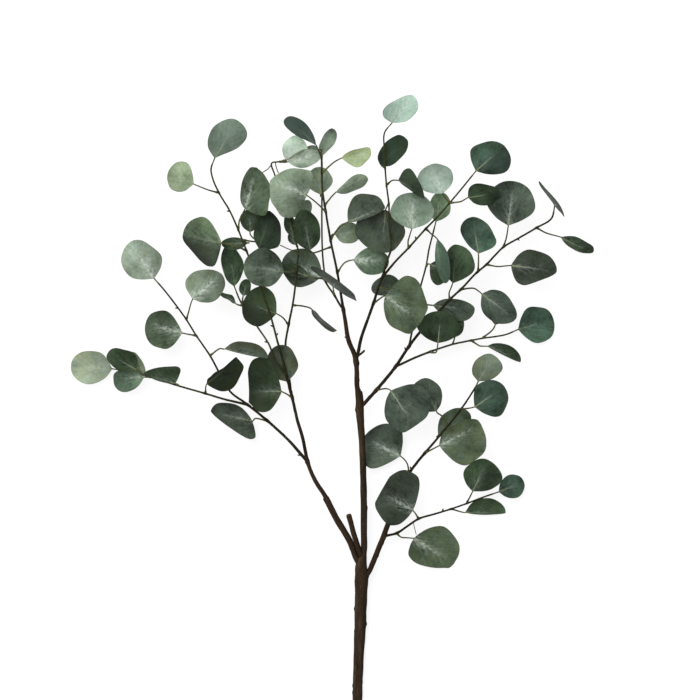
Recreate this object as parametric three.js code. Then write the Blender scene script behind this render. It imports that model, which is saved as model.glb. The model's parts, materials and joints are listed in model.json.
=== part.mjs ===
// A cut eucalyptus branch with round silver-dollar leaves, lying on its back.
// Millimetres, +Z up. X runs to the right of the photograph and Y to its top, so the
// photograph is the view from straight above. Each place below is written as
// [photo column, photo row, height], the first two in pixels and the height in millimetres.
import * as THREE from "three";

// Driving dimensions
const ROUND_LEAF = 58; // across the round leaf at the upper right
const ROUND_LEAF_PIXELS = 48; // the same leaf in the photograph
const PIXEL = ROUND_LEAF / ROUND_LEAF_PIXELS;
const SEAT_GAP = 0.3; // between a foot and the stem it grows from
const LEAF_THICK = 0.9; // through the midrib
const LEAF_RIM = 0.5; // through the blade near its rim
const STALK_FOOT = 0.95; // radius of a leaf stalk where it leaves the stem
const STALK_NECK = 0.65; // radius of a stalk or twig where the blade starts
const CUP = 0.11; // how far the rims rise, as a share of the half width
const ARCH = 0.06; // how far the middle rises, as a share of the length
const BASE_POINT = 0.7; // how pointed the blade is at its base
const RING_STEP = 27; // longest step between the rings of a stem
const STALK_STEP = 9; // the same along a leaf stalk
const TAPER = 2; // the power that thins a stem along its length
const FINE = 60; // places tried between two knots of a route
const MOST_RINGS = 6; // between two knots
const STEM_SIDES = 8; // points in a ring of a stem and its end leaf
const STALK_SIDES = 4; // points in a ring of a leaf stalk and its blade
const BLADE_ANGLES = [18, 42, 66, 92, 118, 144, 166]; // rings of a blade, in degrees round its outline

const TONES = {
  bark: 0x3f3129,
  twig: 0x5a5636,
  silver: 0x96a694,
  sage: 0x7c8b77,
  green: 0x5a6857,
  dark: 0x374335,
  olive: 0x4a554a,
  teal: 0x3f5245,
  yellow: 0x9bad8c,
};

const place = ([column, row, height]) => new THREE.Vector3(column * PIXEL, -row * PIXEL, height);

// A closed skin over rings of points: row 0 and the last row shrink to one point each.
function loft(rings, foot, tip) {
  const around = rings[0].length;
  const skin = new THREE.SphereGeometry(1, around, rings.length + 1);
  const spots = skin.attributes.position;
  for (let i = 0; i < spots.count; i += 1) {
    const row = Math.floor(i / (around + 1));
    const turn = i % (around + 1) % around;
    let spot = foot;
    if (row > rings.length) {
      spot = tip;
    } else if (row > 0) {
      spot = rings[row - 1][turn];
    }
    spots.setXYZ(i, spot.x, spot.y, spot.z);
  }
  skin.computeVertexNormals();
  return skin;
}

// A ring of points across a stem or a blade; reach gives the offset for each turn.
function ringAt(centre, side, up, around, reach) {
  return Array.from({ length: around }, (_, k) => {
    const turn = (k / around) * Math.PI * 2;
    const [across, lift, onward = 0] = reach(-Math.cos(turn), Math.sin(turn));
    const spot = centre.clone().addScaledVector(side, across).addScaledVector(up, lift);
    return spot.addScaledVector(side.clone().cross(up), onward);
  });
}

// Half width of a blade at an angle round its outline, as a share of the widest half width.
// The rim is widest at a share of the length, and a full rim is blunt at both ends.
function outline(angle, widestAt, full) {
  const turned = angle + (Math.PI / 2 - Math.acos(1 - 2 * widestAt)) * Math.sin(angle);
  const nearBase = (1 + Math.cos(turned)) / 2;
  return Math.sin(turned) ** (1 + BASE_POINT * nearBase ** 2 - full);
}

// The frame and rings of one blade, from its base to its tip. A leaf gives the reach of its
// left and right rims, where each is widest (leftAt), how far each is carried on towards the
// tip as a share of its reach (leftOn), and how full the outline is.
function blade(leaf, base, tip, around) {
  const run = tip.clone().sub(base);
  const length = run.length();
  const ahead = run.clone().normalize();
  const level = new THREE.Vector3(-ahead.y, ahead.x, 0).normalize();
  const roll = THREE.MathUtils.degToRad(leaf.roll ?? 0);
  const flatUp = ahead.clone().cross(level);
  const side = level.clone().multiplyScalar(Math.cos(roll)).addScaledVector(flatUp, Math.sin(roll));
  const up = ahead.clone().cross(side);
  const left = (leaf.left * PIXEL) / Math.cos(roll);
  const right = (leaf.right * PIXEL) / Math.cos(roll);
  const cup = (leaf.cup ?? CUP) * Math.max(left, right);
  const arch = (leaf.arch ?? ARCH) * length;
  const rings = BLADE_ANGLES.map((degrees) => {
    const angle = THREE.MathUtils.degToRad(degrees);
    const along = (1 - Math.cos(angle)) / 2;
    const toLeft = outline(angle, leaf.leftAt ?? 0.5, leaf.full ?? 0);
    const toRight = outline(angle, leaf.rightAt ?? 0.5, leaf.full ?? 0);
    const centre = base.clone().addScaledVector(run, along);
    centre.addScaledVector(up, arch * 4 * along * (1 - along));
    const thick = THREE.MathUtils.lerp(LEAF_RIM, LEAF_THICK, Math.max(toLeft, toRight)) / 2;
    return ringAt(centre, side, up, around, (across, lift) => {
      const share = across > 0 ? toLeft : toRight;
      const aside = across * share * (across > 0 ? left : right);
      const onward = (across > 0 ? leaf.leftOn : leaf.rightOn) ?? 0;
      return [aside, cup * share * across * across + thick * lift, Math.abs(aside) * onward];
    });
  });
  const lowest = Math.min(tip.z, ...rings.flat().map((spot) => spot.z));
  return { rings, ahead, side, lowest };
}

// The nearest place on a stem's centre line, seen from above.
function footOn(stem, [column, row]) {
  const from = place([column, row, 0]);
  const apart = (spot) => Math.hypot(spot.centre.x - from.x, spot.centre.y - from.y);
  return stem.line.reduce((best, spot) => (apart(spot) < apart(best) ? spot : best));
}

// Where along a centre line the shoot has come clear of the stem it grows from.
function clearOf(stem, line) {
  return line.findIndex((spot) => {
    const near = stem.line.reduce((best, other) =>
      other.centre.distanceTo(spot.centre) < best.centre.distanceTo(spot.centre) ? other : best
    );
    const lean = Math.abs(near.ahead.dot(spot.ahead));
    return near.centre.distanceTo(spot.centre) > near.radius + SEAT_GAP + spot.radius * lean;
  });
}

// Points, directions and radii along a route, with the places where a ring goes. The last
// point only steers the end.
function centreLine(points, radiusAt, step) {
  const curve = new THREE.CatmullRomCurve3(points, false, "centripetal");
  const spans = points.length - 2;
  const end = spans / (points.length - 1);
  const steps = FINE * spans;
  const rings = points.slice(1, -1).map((point, k) =>
    Math.min(MOST_RINGS, Math.ceil(point.distanceTo(points[k]) / step))
  );
  return Array.from({ length: steps + 1 }, (_, k) => {
    const span = Math.min(Math.floor(k / FINE), spans - 1);
    return {
      centre: curve.getPoint((end * k) / steps),
      ahead: curve.getTangent((end * k) / steps),
      radius: radiusAt(k / steps),
      ring: (k % FINE) % (FINE / rings[span]) === 0,
    };
  });
}

const group = new THREE.Group();
const stems = {};

function addMesh(name, skin, tone) {
  const finish = new THREE.MeshStandardMaterial({ color: TONES[tone], roughness: 0.7 });
  const mesh = new THREE.Mesh(skin, finish);
  mesh.name = name;
  group.add(mesh);
}

// A stem or stalk that runs along a route and opens into one blade at its end.
function shoot(name, parent, route, leaf, radiusAt, around, tone) {
  const step = around > STALK_SIDES ? RING_STEP : STALK_STEP;
  const points = route.map(place);
  const tip = place(leaf.tip);
  const base = points[points.length - 1];
  if (leaf.rests) {
    const drop = blade(leaf, base, tip, around).lowest;
    base.z -= drop;
    tip.z -= drop;
  }
  const end = blade(leaf, base, tip, around);
  const steer = base.clone().addScaledVector(end.ahead, STALK_NECK * 8);
  const line = centreLine([...points, steer], radiusAt, step);
  const start = parent ? clearOf(parent, line) : 0;
  const clear = line.slice(Math.max(start, 0));
  const picked = [clear[0]];
  let run = 0;
  clear.slice(1).forEach((spot, k) => {
    run += spot.centre.distanceTo(clear[k].centre);
    if (spot.ring && run > step / 6) {
      picked.push(spot);
      run = 0;
    }
  });
  picked[picked.length - 1] = run > 0 ? clear[clear.length - 1] : picked[picked.length - 1];
  let side = end.side.clone();
  const rings = picked.reverse().map((spot) => {
    side = side.addScaledVector(spot.ahead, -side.dot(spot.ahead)).normalize().clone();
    const up = spot.ahead.clone().cross(side);
    return ringAt(spot.centre, side, up, around, (across, lift) => [
      across * spot.radius,
      lift * spot.radius,
    ]);
  });
  const all = [...rings.reverse(), ...end.rings];
  addMesh(name, loft(all, clear[0].centre, tip), tone);
  return { line };
}

// A stem, its end leaf and the leaves along it.
function grow(name, parent, stem) {
  const [thick, thin] = stem.radius;
  const taper = stem.taper ?? TAPER;
  const radiusAt = stem.radiusAt ?? ((share) => thin + (thick - thin) * (1 - share) ** taper);
  stems[name] = shoot(name, stems[parent], stem.route, stem.end, radiusAt, STEM_SIDES, stem.tone);
  (stem.leaves ?? []).forEach((leaf, k) => {
    const foot = footOn(stems[name], leaf.foot);
    const start = [leaf.foot[0], leaf.foot[1], foot.centre.z];
    const middle = leaf.via ? [[...leaf.via, leaf.lift ?? (foot.centre.z + leaf.base[2]) / 2]] : [];
    const stalk = (share) => THREE.MathUtils.lerp(STALK_FOOT, STALK_NECK, share);
    const route = [start, ...middle, leaf.base];
    shoot(`${name}_leaf_${k + 1}`, stems[name], route, leaf, stalk, STALK_SIDES, leaf.tone);
  });
}

// The main stem, from the cut end to the fork and on to the leaf at the top of the middle.
// Each knot: [photo column, photo row, height, radius].
const MAIN_KNOTS = [
  [356.4, 750, 5.9, 5.9],
  [357.5, 700, 6.2, 5.9],
  [358.6, 660, 7, 6.2],
  [360, 631, 8, 7.1],
  [361.2, 597, 9.5, 7.6],
  [361.6, 577, 10.5, 7.8],
  [361.6, 564, 11.5, 6.2],
  [363.7, 553, 12.2, 3.5],
  [363.9, 531, 14, 3.8],
  [363.7, 490, 17, 3.9],
  [361.9, 440, 21, 3.8],
  [360, 416, 23, 4.8],
  [358.6, 394, 25, 4.4],
  [357.3, 388, 25.4, 2.7],
  [356.8, 371, 27, 2.5],
  [355.8, 359.5, 28, 2.6],
  [348.4, 339.5, 33, 2.4],
  [345.1, 319.7, 37, 1.9],
  [342.9, 307, 40, 1.5],
  [340.4, 291, 43, 1.15],
  [336.6, 268.7, 48, 1.05],
  [330.5, 240, 53, 1],
  [326, 213, 58, 0.95],
  [322.4, 189.3, 62, 0.9],
  [321.8, 169, 65, 0.85],
  [321.1, 157.4, 66, 0.8],
  [316.5, 146, 68, 0.7],
];

function mainRadius(share) {
  const at = share * (MAIN_KNOTS.length - 1);
  const knot = Math.min(Math.floor(at), MAIN_KNOTS.length - 2);
  return THREE.MathUtils.lerp(MAIN_KNOTS[knot][3], MAIN_KNOTS[knot + 1][3], at - knot);
}

grow("main_stem", null, {
  route: MAIN_KNOTS,
  radius: [5.9, 0.7],
  tone: "bark",
  radiusAt: mainRadius,
  end: { tip: [284.5, 120, 74], left: 7, leftAt: 0.7, right: 9.3, rightAt: 0.64, roll: 25 },
  leaves: [
    { foot: [323.4, 172], via: [334.2, 162.5], base: [341.7, 158.5, 67], tip: [370.5, 149.5, 72],
      left: 6, right: 11, roll: 35, tone: "yellow" },
    { foot: [325, 205], base: [336, 192.5, 63], tip: [368, 178.8, 68], left: 6.5, leftAt: 0.7,
      right: 8, roll: -30, tone: "sage" },
    { foot: [325.8, 212], via: [318.7, 205], base: [306.8, 195.8, 73], tip: [270.3, 181, 80],
      left: 27, leftAt: 0.35, leftOn: -0.2, right: 24.5, rightAt: 0.45, rightOn: -0.35,
      tone: "sage" },
    { foot: [331, 239.5], via: [338, 229], base: [348.3, 221.8, 60], tip: [385, 207, 63],
      left: 20.5, leftAt: 0.47, right: 4, full: 0.3, tone: "olive" },
    { foot: [337.8, 272], via: [344.8, 262.6], base: [353.6, 259.8, 42], tip: [389, 262, 38],
      left: 13, right: 14, tone: "green" },
  ],
});

// The cut stub beside the fork has no leaf, so both its ends are flat.
const STUB_RADIUS = 2.9;
const STUB_ROUTE = [[361, 556, 14], [355.8, 541, 21], [348.8, 515.5, 29], [347, 509, 31]];

function addStub(name, parent) {
  const line = centreLine(STUB_ROUTE.map(place), () => STUB_RADIUS, RING_STEP);
  const clear = line.slice(clearOf(parent, line));
  const picked = [clear[0], clear[Math.floor(clear.length / 2)], clear[clear.length - 1]];
  const side = new THREE.Vector3(0, 0, 1).cross(clear[0].ahead).normalize();
  const rings = picked.map((spot) => {
    const across = side.clone().addScaledVector(spot.ahead, -side.dot(spot.ahead)).normalize();
    const up = spot.ahead.clone().cross(across);
    return ringAt(spot.centre, across, up, STEM_SIDES, (x, y) => [x * spot.radius, y * spot.radius]);
  });
  addMesh(name, loft(rings, picked[0].centre, picked[2].centre), "bark");
}

addStub("cut_stub", stems.main_stem);

grow("left_branch", "main_stem", {
  route: [
    [357.4, 562.4, 12], [349.8, 541.6, 15], [336.4, 518.8, 17], [324.9, 496.3, 19], [314.6, 480, 20],
    [308, 464, 21], [303, 440, 26], [297, 419, 31], [291.8, 396, 36], [288, 382, 40],
    [281, 353.3, 46], [277.8, 342.5, 48], [270.8, 316.4, 53], [262, 291, 56], [248, 254.5, 57],
    [241.5, 237.6, 58], [230.4, 212, 61], [219.2, 193, 63], [213.2, 179.5, 64], [211.3, 170, 65],
    [215, 158.6, 67],
  ],
  radius: [3.4, 0.75],
  taper: 3,
  tone: "bark",
  end: { tip: [238, 121, 72], left: 17.5, leftAt: 0.45, right: 17, rightAt: 0.72 },
  leaves: [
    { foot: [219, 193], via: [210, 190.7], base: [193.7, 184.2, 60], tip: [169, 170.5, 55],
      left: 15.5, leftAt: 0.42, right: 15, rightAt: 0.58, tone: "yellow" },
    { foot: [238.7, 227.8], via: [239.7, 220.4], base: [245.3, 209, 62], tip: [257, 168, 70],
      left: 10, leftAt: 0.55, right: 23, rightAt: 0.3, rightOn: -0.35, full: 0.4, tone: "green" },
    { foot: [245, 250], via: [232, 245], base: [221.6, 243, 57], tip: [182.5, 236, 48],
      left: 26, leftAt: 0.22, leftOn: -0.15, right: 21.5, rightAt: 0.58, tone: "green" },
    { foot: [252.5, 266], via: [256.5, 254], base: [259, 248.5, 54], tip: [270, 211, 52],
      left: 10, right: 19, rightOn: -0.3, tone: "dark" },
    { foot: [292.3, 397.5], base: [281.5, 391.5, 42], tip: [247.5, 390.5, 44], left: 21.5,
      leftAt: 0.6, right: 34, rightOn: 0.1, full: 0.35, tone: "dark" },
    { foot: [289.8, 388], base: [286.8, 381.5, 36], tip: [279, 345, 39], left: 17, right: 15,
      tone: "olive" },
  ],
});

grow("left_low_branch", "left_branch", {
  route: [
    [307, 463, 21], [301.6, 455, 22], [288, 440, 23], [265, 419, 24], [246, 403.7, 25],
    [230, 391.6, 26], [217, 369, 28], [210, 356, 29], [196, 335.5, 31], [186, 319.3, 33],
    [164.5, 290.5, 37], [153.8, 278.2, 39],
  ],
  radius: [1.7, 0.7],
  tone: "twig",
  end: { tip: [130.5, 241.5, 43], left: 20.5, right: 18, rightAt: 0.42 },
  leaves: [
    { foot: [186.3, 319.3], via: [189, 310], base: [192.6, 298.9, 42], tip: [222, 274, 48],
      left: 20.5, leftAt: 0.45, leftOn: -0.2, right: 16, tone: "sage" },
    { foot: [196, 335.7], base: [181.8, 333, 27], tip: [145, 323, 18], left: 21.5, leftAt: 0.42,
      right: 16.5, rightAt: 0.58, tone: "green" },
    { foot: [265.5, 420.6], via: [255, 418.6], base: [252, 421.7, 15], tip: [210, 411.5, 4],
      left: 18, leftAt: 0.25, leftOn: -0.9, right: 13, rightAt: 0.55, rests: true, tone: "olive" },
  ],
});

grow("left_outer_twig", "left_low_branch", {
  route: [
    [246, 404, 25], [240, 403.6, 24], [204.5, 393.5, 19], [175, 385.1, 15], [142.8, 375.1, 12],
    [111, 368.8, 10],
  ],
  radius: [1.3, 0.7],
  tone: "twig",
  end: { tip: [69.5, 366, 4], left: 17, right: 17, rests: true },
  leaves: [
    { foot: [146, 375.7], via: [141.8, 373.8], lift: 22, base: [135.8, 369.6, 26],
      tip: [107.2, 353, 30], left: 9.5, right: 13, rightAt: 0.4, full: 0.2, tone: "dark" },
    { foot: [151, 377.2], base: [143.3, 377.3, 17], tip: [112.5, 377.5, 14], left: 15, leftAt: 0.6,
      right: 9, full: 0.2, tone: "green" },
    { foot: [205, 393], base: [206.5, 384, 34], tip: [236.5, 357, 46], left: 2, right: 18.5,
      rightAt: 0.4, full: 0.5, roll: 20, tone: "dark" },
  ],
});

grow("left_inner_twig", "left_branch", {
  route: [
    [291, 391.5, 37.5], [288.5, 375, 33], [286.5, 360, 31], [285.5, 343.8, 32], [288.3, 326, 36],
    [292.5, 305.5, 41], [295, 288.3, 46], [296.5, 270, 50], [298, 250, 52], [295.5, 240, 52],
    [289, 215, 52], [281, 190, 52], [274.5, 174, 53], [272, 163, 54], [278, 162, 55],
    [286, 160, 56],
  ],
  radius: [1.2, 0.7],
  tone: "twig",
  end: { tip: [300, 137, 60], left: 10, right: 15 },
  leaves: [
    { foot: [288.6, 325.5], via: [283.5, 318.3], base: [276.3, 313.5, 43], tip: [243, 302, 42],
      left: 19, right: 22, tone: "dark" },
    { foot: [296, 272], base: [284, 272, 63], tip: [244, 265, 68], left: 19, right: 20,
      tone: "olive" },
  ],
});

grow("left_back_twig", "left_branch", {
  route: [
    [288, 379.5, 40.5], [281.5, 369, 43], [275, 360, 44], [268.9, 344.4, 42], [258, 327.8, 34],
    [249, 314, 30], [240.8, 302.3, 28], [234, 286, 28],
  ],
  radius: [1, 0.7],
  tone: "twig",
  end: { tip: [226, 246, 36], left: 10.5, right: 11, roll: 40 },
});

grow("centre_back_twig", "main_stem", {
  route: [
    [343.3, 310, 39.3], [339.7, 304.4, 38], [334.6, 295.5, 34], [325.7, 281.5, 28],
    [323.8, 268, 24], [322.5, 254, 20], [321.8, 232, 15], [321.8, 200, 10], [322, 178, 7],
    [322.2, 155, 6],
  ],
  radius: [1.1, 0.7],
  tone: "twig",
  end: { tip: [333, 127.5, 2], left: 8, leftAt: 0.4, right: 6, rightAt: 0.68, roll: 20, rests: true },
  leaves: [
    { foot: [325.5, 281], base: [321, 277, 34], tip: [283, 258.5, 36], left: 19, right: 19,
      tone: "olive" },
    { foot: [334.3, 295], base: [333, 286.5, 50], tip: [337.5, 280.5, 88], left: 28, right: 28,
      full: 0.5, cup: 0.02, arch: 0.02, tone: "olive" },
  ],
});

grow("tall_branch", "main_stem", {
  route: [
    [356, 360, 28], [357.8, 354, 29], [360.8, 339.5, 33], [365.3, 326, 38], [373.6, 303, 45],
    [377.4, 290.4, 49], [382.3, 277, 53], [387.2, 260.4, 57], [391, 249, 59], [389.1, 224.6, 63],
    [388.7, 204, 66], [386.4, 185.6, 69], [385, 168.4, 71], [384.1, 149, 73], [384.7, 132.8, 74],
    [392, 123.5, 75],
  ],
  radius: [1.9, 0.65],
  tone: "bark",
  end: { tip: [412.5, 96, 79], left: 14.5, leftAt: 0.4, leftOn: -0.5, right: 13.5, rightAt: 0.6 },
  leaves: [
    { foot: [388.7, 204], base: [385.5, 210, 56], tip: [381.5, 252.8, 48], left: 21, right: 28.5,
      rightAt: 0.44, tone: "olive" },
    { foot: [385, 168], base: [381, 166, 66], tip: [404, 137, 62], left: 10.8, leftAt: 0.45,
      leftOn: -0.15, right: 11, full: 0.4, tone: "dark" },
    { foot: [386.5, 185.5], via: [392, 181], base: [398.3, 181, 78], tip: [424, 199, 86],
      left: 14.5, leftAt: 0.32, leftOn: -0.55, right: 3, roll: -20, tone: "dark" },
    { foot: [373.7, 303.3], via: [382.3, 297], base: [385.6, 295.6, 56], tip: [420.5, 323, 56],
      left: 31, leftAt: 0.32, leftOn: -0.12, right: 20.5, rightAt: 0.62, full: 0.5, tone: "green" },
  ],
});

grow("upper_right_twig", "tall_branch", {
  route: [
    [382.5, 276.5, 53], [388, 270.8, 54], [394.2, 262.9, 56], [408.9, 247.6, 58],
    [425.5, 229.1, 60], [436.9, 217.6, 61], [450.7, 201.7, 62], [463, 187, 63], [475.8, 171.2, 64],
  ],
  radius: [1.3, 0.7],
  tone: "twig",
  end: { tip: [504, 146, 68], left: 19, leftAt: 0.45, leftOn: -0.12, right: 20.5, rightAt: 0.6 },
  leaves: [
    { foot: [408.6, 247.6], via: [407.9, 242], base: [411.5, 229.3, 70], tip: [412.5, 193, 76],
      left: 22, right: 22, tone: "sage" },
    { foot: [449.5, 203], base: [442, 194, 67], tip: [430, 165, 70], left: 19.5, leftAt: 0.58,
      right: 17, rightAt: 0.45, tone: "silver" },
    { foot: [451.3, 203], via: [461, 201.7], base: [467.9, 197.7, 62], tip: [499, 190.5, 60],
      left: 13, leftAt: 0.32, leftOn: -0.15, right: 10, roll: 30, tone: "dark" },
    { foot: [425.8, 229.3], via: [431, 234], base: [437.5, 239.5, 62], tip: [445, 283.5, 58],
      left: 10.5, right: 3.5, roll: 40, tone: "green" },
  ],
});

grow("right_branch", "main_stem", {
  route: [
    [361, 408, 24.2], [366, 401.5, 25], [376.5, 390, 27], [395.4, 367, 30], [405.9, 351, 32],
    [416.8, 336, 34], [428, 323.5, 37], [440.6, 309.5, 43], [449.7, 299.6, 46], [461.2, 289, 48],
    [476.5, 272.8, 49], [486.5, 264.4, 49], [503, 247.4, 47], [517.5, 238.8, 44],
    [536.6, 227.7, 40], [551.9, 217.8, 40], [554.8, 205.5, 44],
  ],
  radius: [1.9, 0.8],
  tone: "bark",
  end: { tip: [557.5, 203.5, 82], left: 29, right: 15, cup: 0.02, arch: 0.02 },
  leaves: [
    { foot: [377, 390], via: [386, 388.7], base: [391, 390.6, 40], tip: [415, 428, 42],
      left: 31, leftAt: 0.5, leftOn: -0.05, right: 20, rightAt: 0.58, full: 0.2, tone: "olive" },
    { foot: [449.7, 299.5], via: [449, 293.5], base: [452.8, 283, 52], tip: [456, 244.5, 54],
      left: 10, right: 20, tone: "dark" },
    { foot: [461, 289.3], via: [474.4, 288.5], base: [482, 294, 42], tip: [516, 319, 36],
      left: 14, leftAt: 0.36, right: 16, rightAt: 0.45, tone: "olive" },
    { foot: [478.1, 272], base: [478.3, 253.5, 56], tip: [472, 217, 60], left: 14, leftAt: 0.66,
      right: 20, rightAt: 0.36, rightOn: -0.1, tone: "teal" },
    { foot: [486.9, 264.6], via: [497.4, 266.5], base: [511.2, 265.4, 42], tip: [557, 271, 36],
      left: 18.5, leftAt: 0.42, right: 17.5, rightAt: 0.24, tone: "olive" },
    { foot: [503.2, 247.3], via: [506, 239], base: [508.2, 225.4, 52], tip: [513, 181, 46],
      left: 24, right: 24, tone: "olive" },
    { foot: [536.6, 227.7], via: [546.2, 232.7], base: [561.3, 236.8, 26], tip: [594.5, 251.5, 6],
      left: 8, right: 5, roll: 20, rests: true, tone: "dark" },
  ],
});

grow("right_inner_twig", "right_branch", {
  route: [
    [409, 346.5, 32.6], [411.7, 333.3, 36], [415, 312, 38], [421, 285, 38], [426, 266.7, 38],
    [429.1, 249, 39], [432.9, 233.8, 41], [436, 221.5, 43],
  ],
  radius: [1, 0.7],
  tone: "twig",
  end: { tip: [441.5, 192, 46], left: 10, right: 12 },
});

grow("right_low_twig", "right_branch", {
  route: [
    [395.4, 367, 30], [411, 359.5, 27], [430.2, 351.8, 24], [439, 348.7, 22], [452.2, 344.5, 20],
    [471.9, 340.3, 17], [483.1, 338.2, 16], [505.6, 334.7, 13], [519, 329.3, 12],
  ],
  radius: [1.2, 0.7],
  tone: "twig",
  end: { tip: [554.5, 319, 4], left: 18, right: 19.5, rests: true },
  leaves: [
    { foot: [430.2, 352], via: [435.9, 352.5], base: [438, 342.9, 36], tip: [441, 311, 48],
      left: 22, right: 20, tone: "dark" },
    { foot: [472.6, 341], via: [480.3, 345.9], base: [487.8, 346.2, 12], tip: [521.5, 362, 4],
      left: 9, right: 2.5, roll: -20, rests: true, tone: "dark" },
  ],
});

grow("low_branch", "main_stem", {
  route: [
    [362, 582, 10], [367.6, 575, 11.5], [377, 554.3, 14], [383.6, 538.2, 16], [388.3, 525.2, 18],
    [399, 497, 21], [409.6, 473.2, 23], [425.7, 452.5, 26], [438, 438, 29], [449.4, 424.2, 32],
    [462.5, 407.4, 34], [476.2, 386, 36], [478.3, 381.5, 36],
  ],
  radius: [3.2, 0.8],
  tone: "bark",
  end: { tip: [493, 354.5, 38], left: 13, leftAt: 0.42, right: 15.5, rightAt: 0.62 },
  leaves: [
    { foot: [409, 472.6], via: [407.4, 464], base: [400.5, 456.3, 12], tip: [363.5, 438, 5],
      left: 24, leftAt: 0.6, right: 25.5, rightAt: 0.48, rightOn: -0.12, rests: true, tone: "olive" },
    { foot: [425.7, 453], base: [439.5, 445.6, 38], tip: [481, 424, 42], left: 12, right: 31,
      rightAt: 0.44, full: 0.3, tone: "green" },
    { foot: [461, 409.5], base: [474.8, 406.9, 40], tip: [504.5, 386.5, 46], left: 16.5,
      right: 21, tone: "teal" },
  ],
});

grow("low_twig", "low_branch", {
  route: [
    [385, 536.7, 16.2], [396.6, 533.8, 17], [418.8, 519.3, 18], [433, 515, 17.5],
    [447, 510.8, 17], [467, 504, 16], [485.4, 497, 15], [499.4, 492.3, 14],
  ],
  radius: [1.2, 0.7],
  tone: "twig",
  end: { tip: [524.5, 482, 9], left: 12, right: 12 },
  leaves: [
    { foot: [396.6, 533.6], via: [401, 537.6], base: [414.2, 539, 14], tip: [454, 565.5, 4],
      left: 26, leftAt: 0.45, right: 19.5, rightAt: 0.28, rightOn: -0.15, full: 0.3, rests: true,
      tone: "green" },
    { foot: [418.8, 519], base: [413, 510.6, 30], tip: [379, 491.7, 34], left: 24, leftAt: 0.35,
      right: 33, rightAt: 0.47, full: 0.4, tone: "olive" },
    { foot: [450.2, 509], base: [465.5, 513.4, 6], tip: [506.5, 513.5, 2], left: 15, right: 2,
      rests: true, tone: "dark" },
    { foot: [467, 503.8], base: [473, 491.5, 26], tip: [487.5, 459.5, 34], left: 16, leftAt: 0.45,
      right: 21.5, rightAt: 0.58, tone: "dark" },
  ],
});

// The row's origin is under the middle of the branch, on the surface it lies on.
const box = new THREE.Box3().setFromObject(group);
const middle = box.getCenter(new THREE.Vector3());
group.position.set(-middle.x, -middle.y, -box.min.z);

export default group;
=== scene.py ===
# %% [markdown]
# A cut eucalyptus branch, finished in Blender. The solid model already gives every stem and
# most leaves their place, but its stems are eight-sided and its leaves are plain facets.
# This lesson reads those solids, lays a fine skin over each of them, adds the leaves and
# buds that the solid model has no room for, and gives leaf, stalk and bark their finish.

# %% Load the solid model
import json

import bpy
import numpy as np
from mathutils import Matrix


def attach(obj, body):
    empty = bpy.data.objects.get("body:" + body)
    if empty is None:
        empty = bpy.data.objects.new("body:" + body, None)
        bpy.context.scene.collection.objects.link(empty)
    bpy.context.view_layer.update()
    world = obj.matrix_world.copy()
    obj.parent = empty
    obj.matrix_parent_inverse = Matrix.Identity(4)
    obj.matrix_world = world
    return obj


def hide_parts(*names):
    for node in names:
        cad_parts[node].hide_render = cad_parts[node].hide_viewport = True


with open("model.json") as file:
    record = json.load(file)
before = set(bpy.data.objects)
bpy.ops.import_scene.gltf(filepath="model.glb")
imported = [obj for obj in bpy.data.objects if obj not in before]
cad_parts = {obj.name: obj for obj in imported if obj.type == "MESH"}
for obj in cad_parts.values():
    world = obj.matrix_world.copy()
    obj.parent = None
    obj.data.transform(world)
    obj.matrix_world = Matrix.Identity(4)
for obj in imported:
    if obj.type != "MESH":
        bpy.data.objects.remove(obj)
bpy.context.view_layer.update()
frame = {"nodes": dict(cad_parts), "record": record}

SLOT_OF = {part["node"]: part["material_slot"] for part in frame["record"]["subparts"]}

# %% [markdown]
# The photograph is the view from straight above, so a pixel is a place on the ground. Its
# scale comes from the round leaf at the upper right: 58 mm across and 48 pixels wide. The
# family tree below says what each stem grows from and the tone of the leaf at its end.

# %% Scale and family tree
MM = 0.001
ROUND_LEAF = 58 * MM
ROUND_LEAF_PIXELS = 48
PIXEL = ROUND_LEAF / ROUND_LEAF_PIXELS
PICTURE = 700
CUT_END = (356.4, 750)

STEMS = {
    "main_stem": (None, "olive"),
    "left_branch": ("main_stem", "sage"),
    "left_low_branch": ("left_branch", "silver"),
    "left_outer_twig": ("left_low_branch", "silver"),
    "left_inner_twig": ("left_branch", "silver"),
    "left_back_twig": ("left_branch", "dark"),
    "centre_back_twig": ("main_stem", "sage"),
    "tall_branch": ("main_stem", "silver"),
    "upper_right_twig": ("tall_branch", "teal"),
    "right_branch": ("main_stem", "dark"),
    "right_inner_twig": ("right_branch", "green"),
    "right_low_twig": ("right_branch", "teal"),
    "low_branch": ("main_stem", "sage"),
    "low_twig": ("low_branch", "teal"),
}
LEAVES = [node for node in SLOT_OF if "_leaf_" in node]
print("stems", len(STEMS), "leaves with a solid", len(LEAVES))

# %% [markdown]
# Every solid is a loft: rings of points run from its foot along the stalk, and in all but the
# cut stub the last seven rings are the blade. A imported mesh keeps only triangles, so the
# rings are found again by counting edges outwards from one end. Blade rings then give three
# lines: the left rim, the midrib and the right rim. The outlines could be traced afresh, but
# reading them keeps the looks and the solids in step.

# %% Read the rings of a solid
BLADE_STATIONS = np.array([0, 18, 42, 66, 92, 118, 144, 166, 180.0])
BLADE_RINGS = len(BLADE_STATIONS) - 2
INNER_EDGES = 6
FLAT_BELOW = 0.5


def unit(vectors):
    """Vectors divided by their own lengths."""
    return vectors / np.linalg.norm(vectors, axis=-1, keepdims=True)


def dot(one, other):
    """Row by row products of two lists of vectors, kept as a column."""
    return (one * other).sum(-1, keepdims=True)


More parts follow.
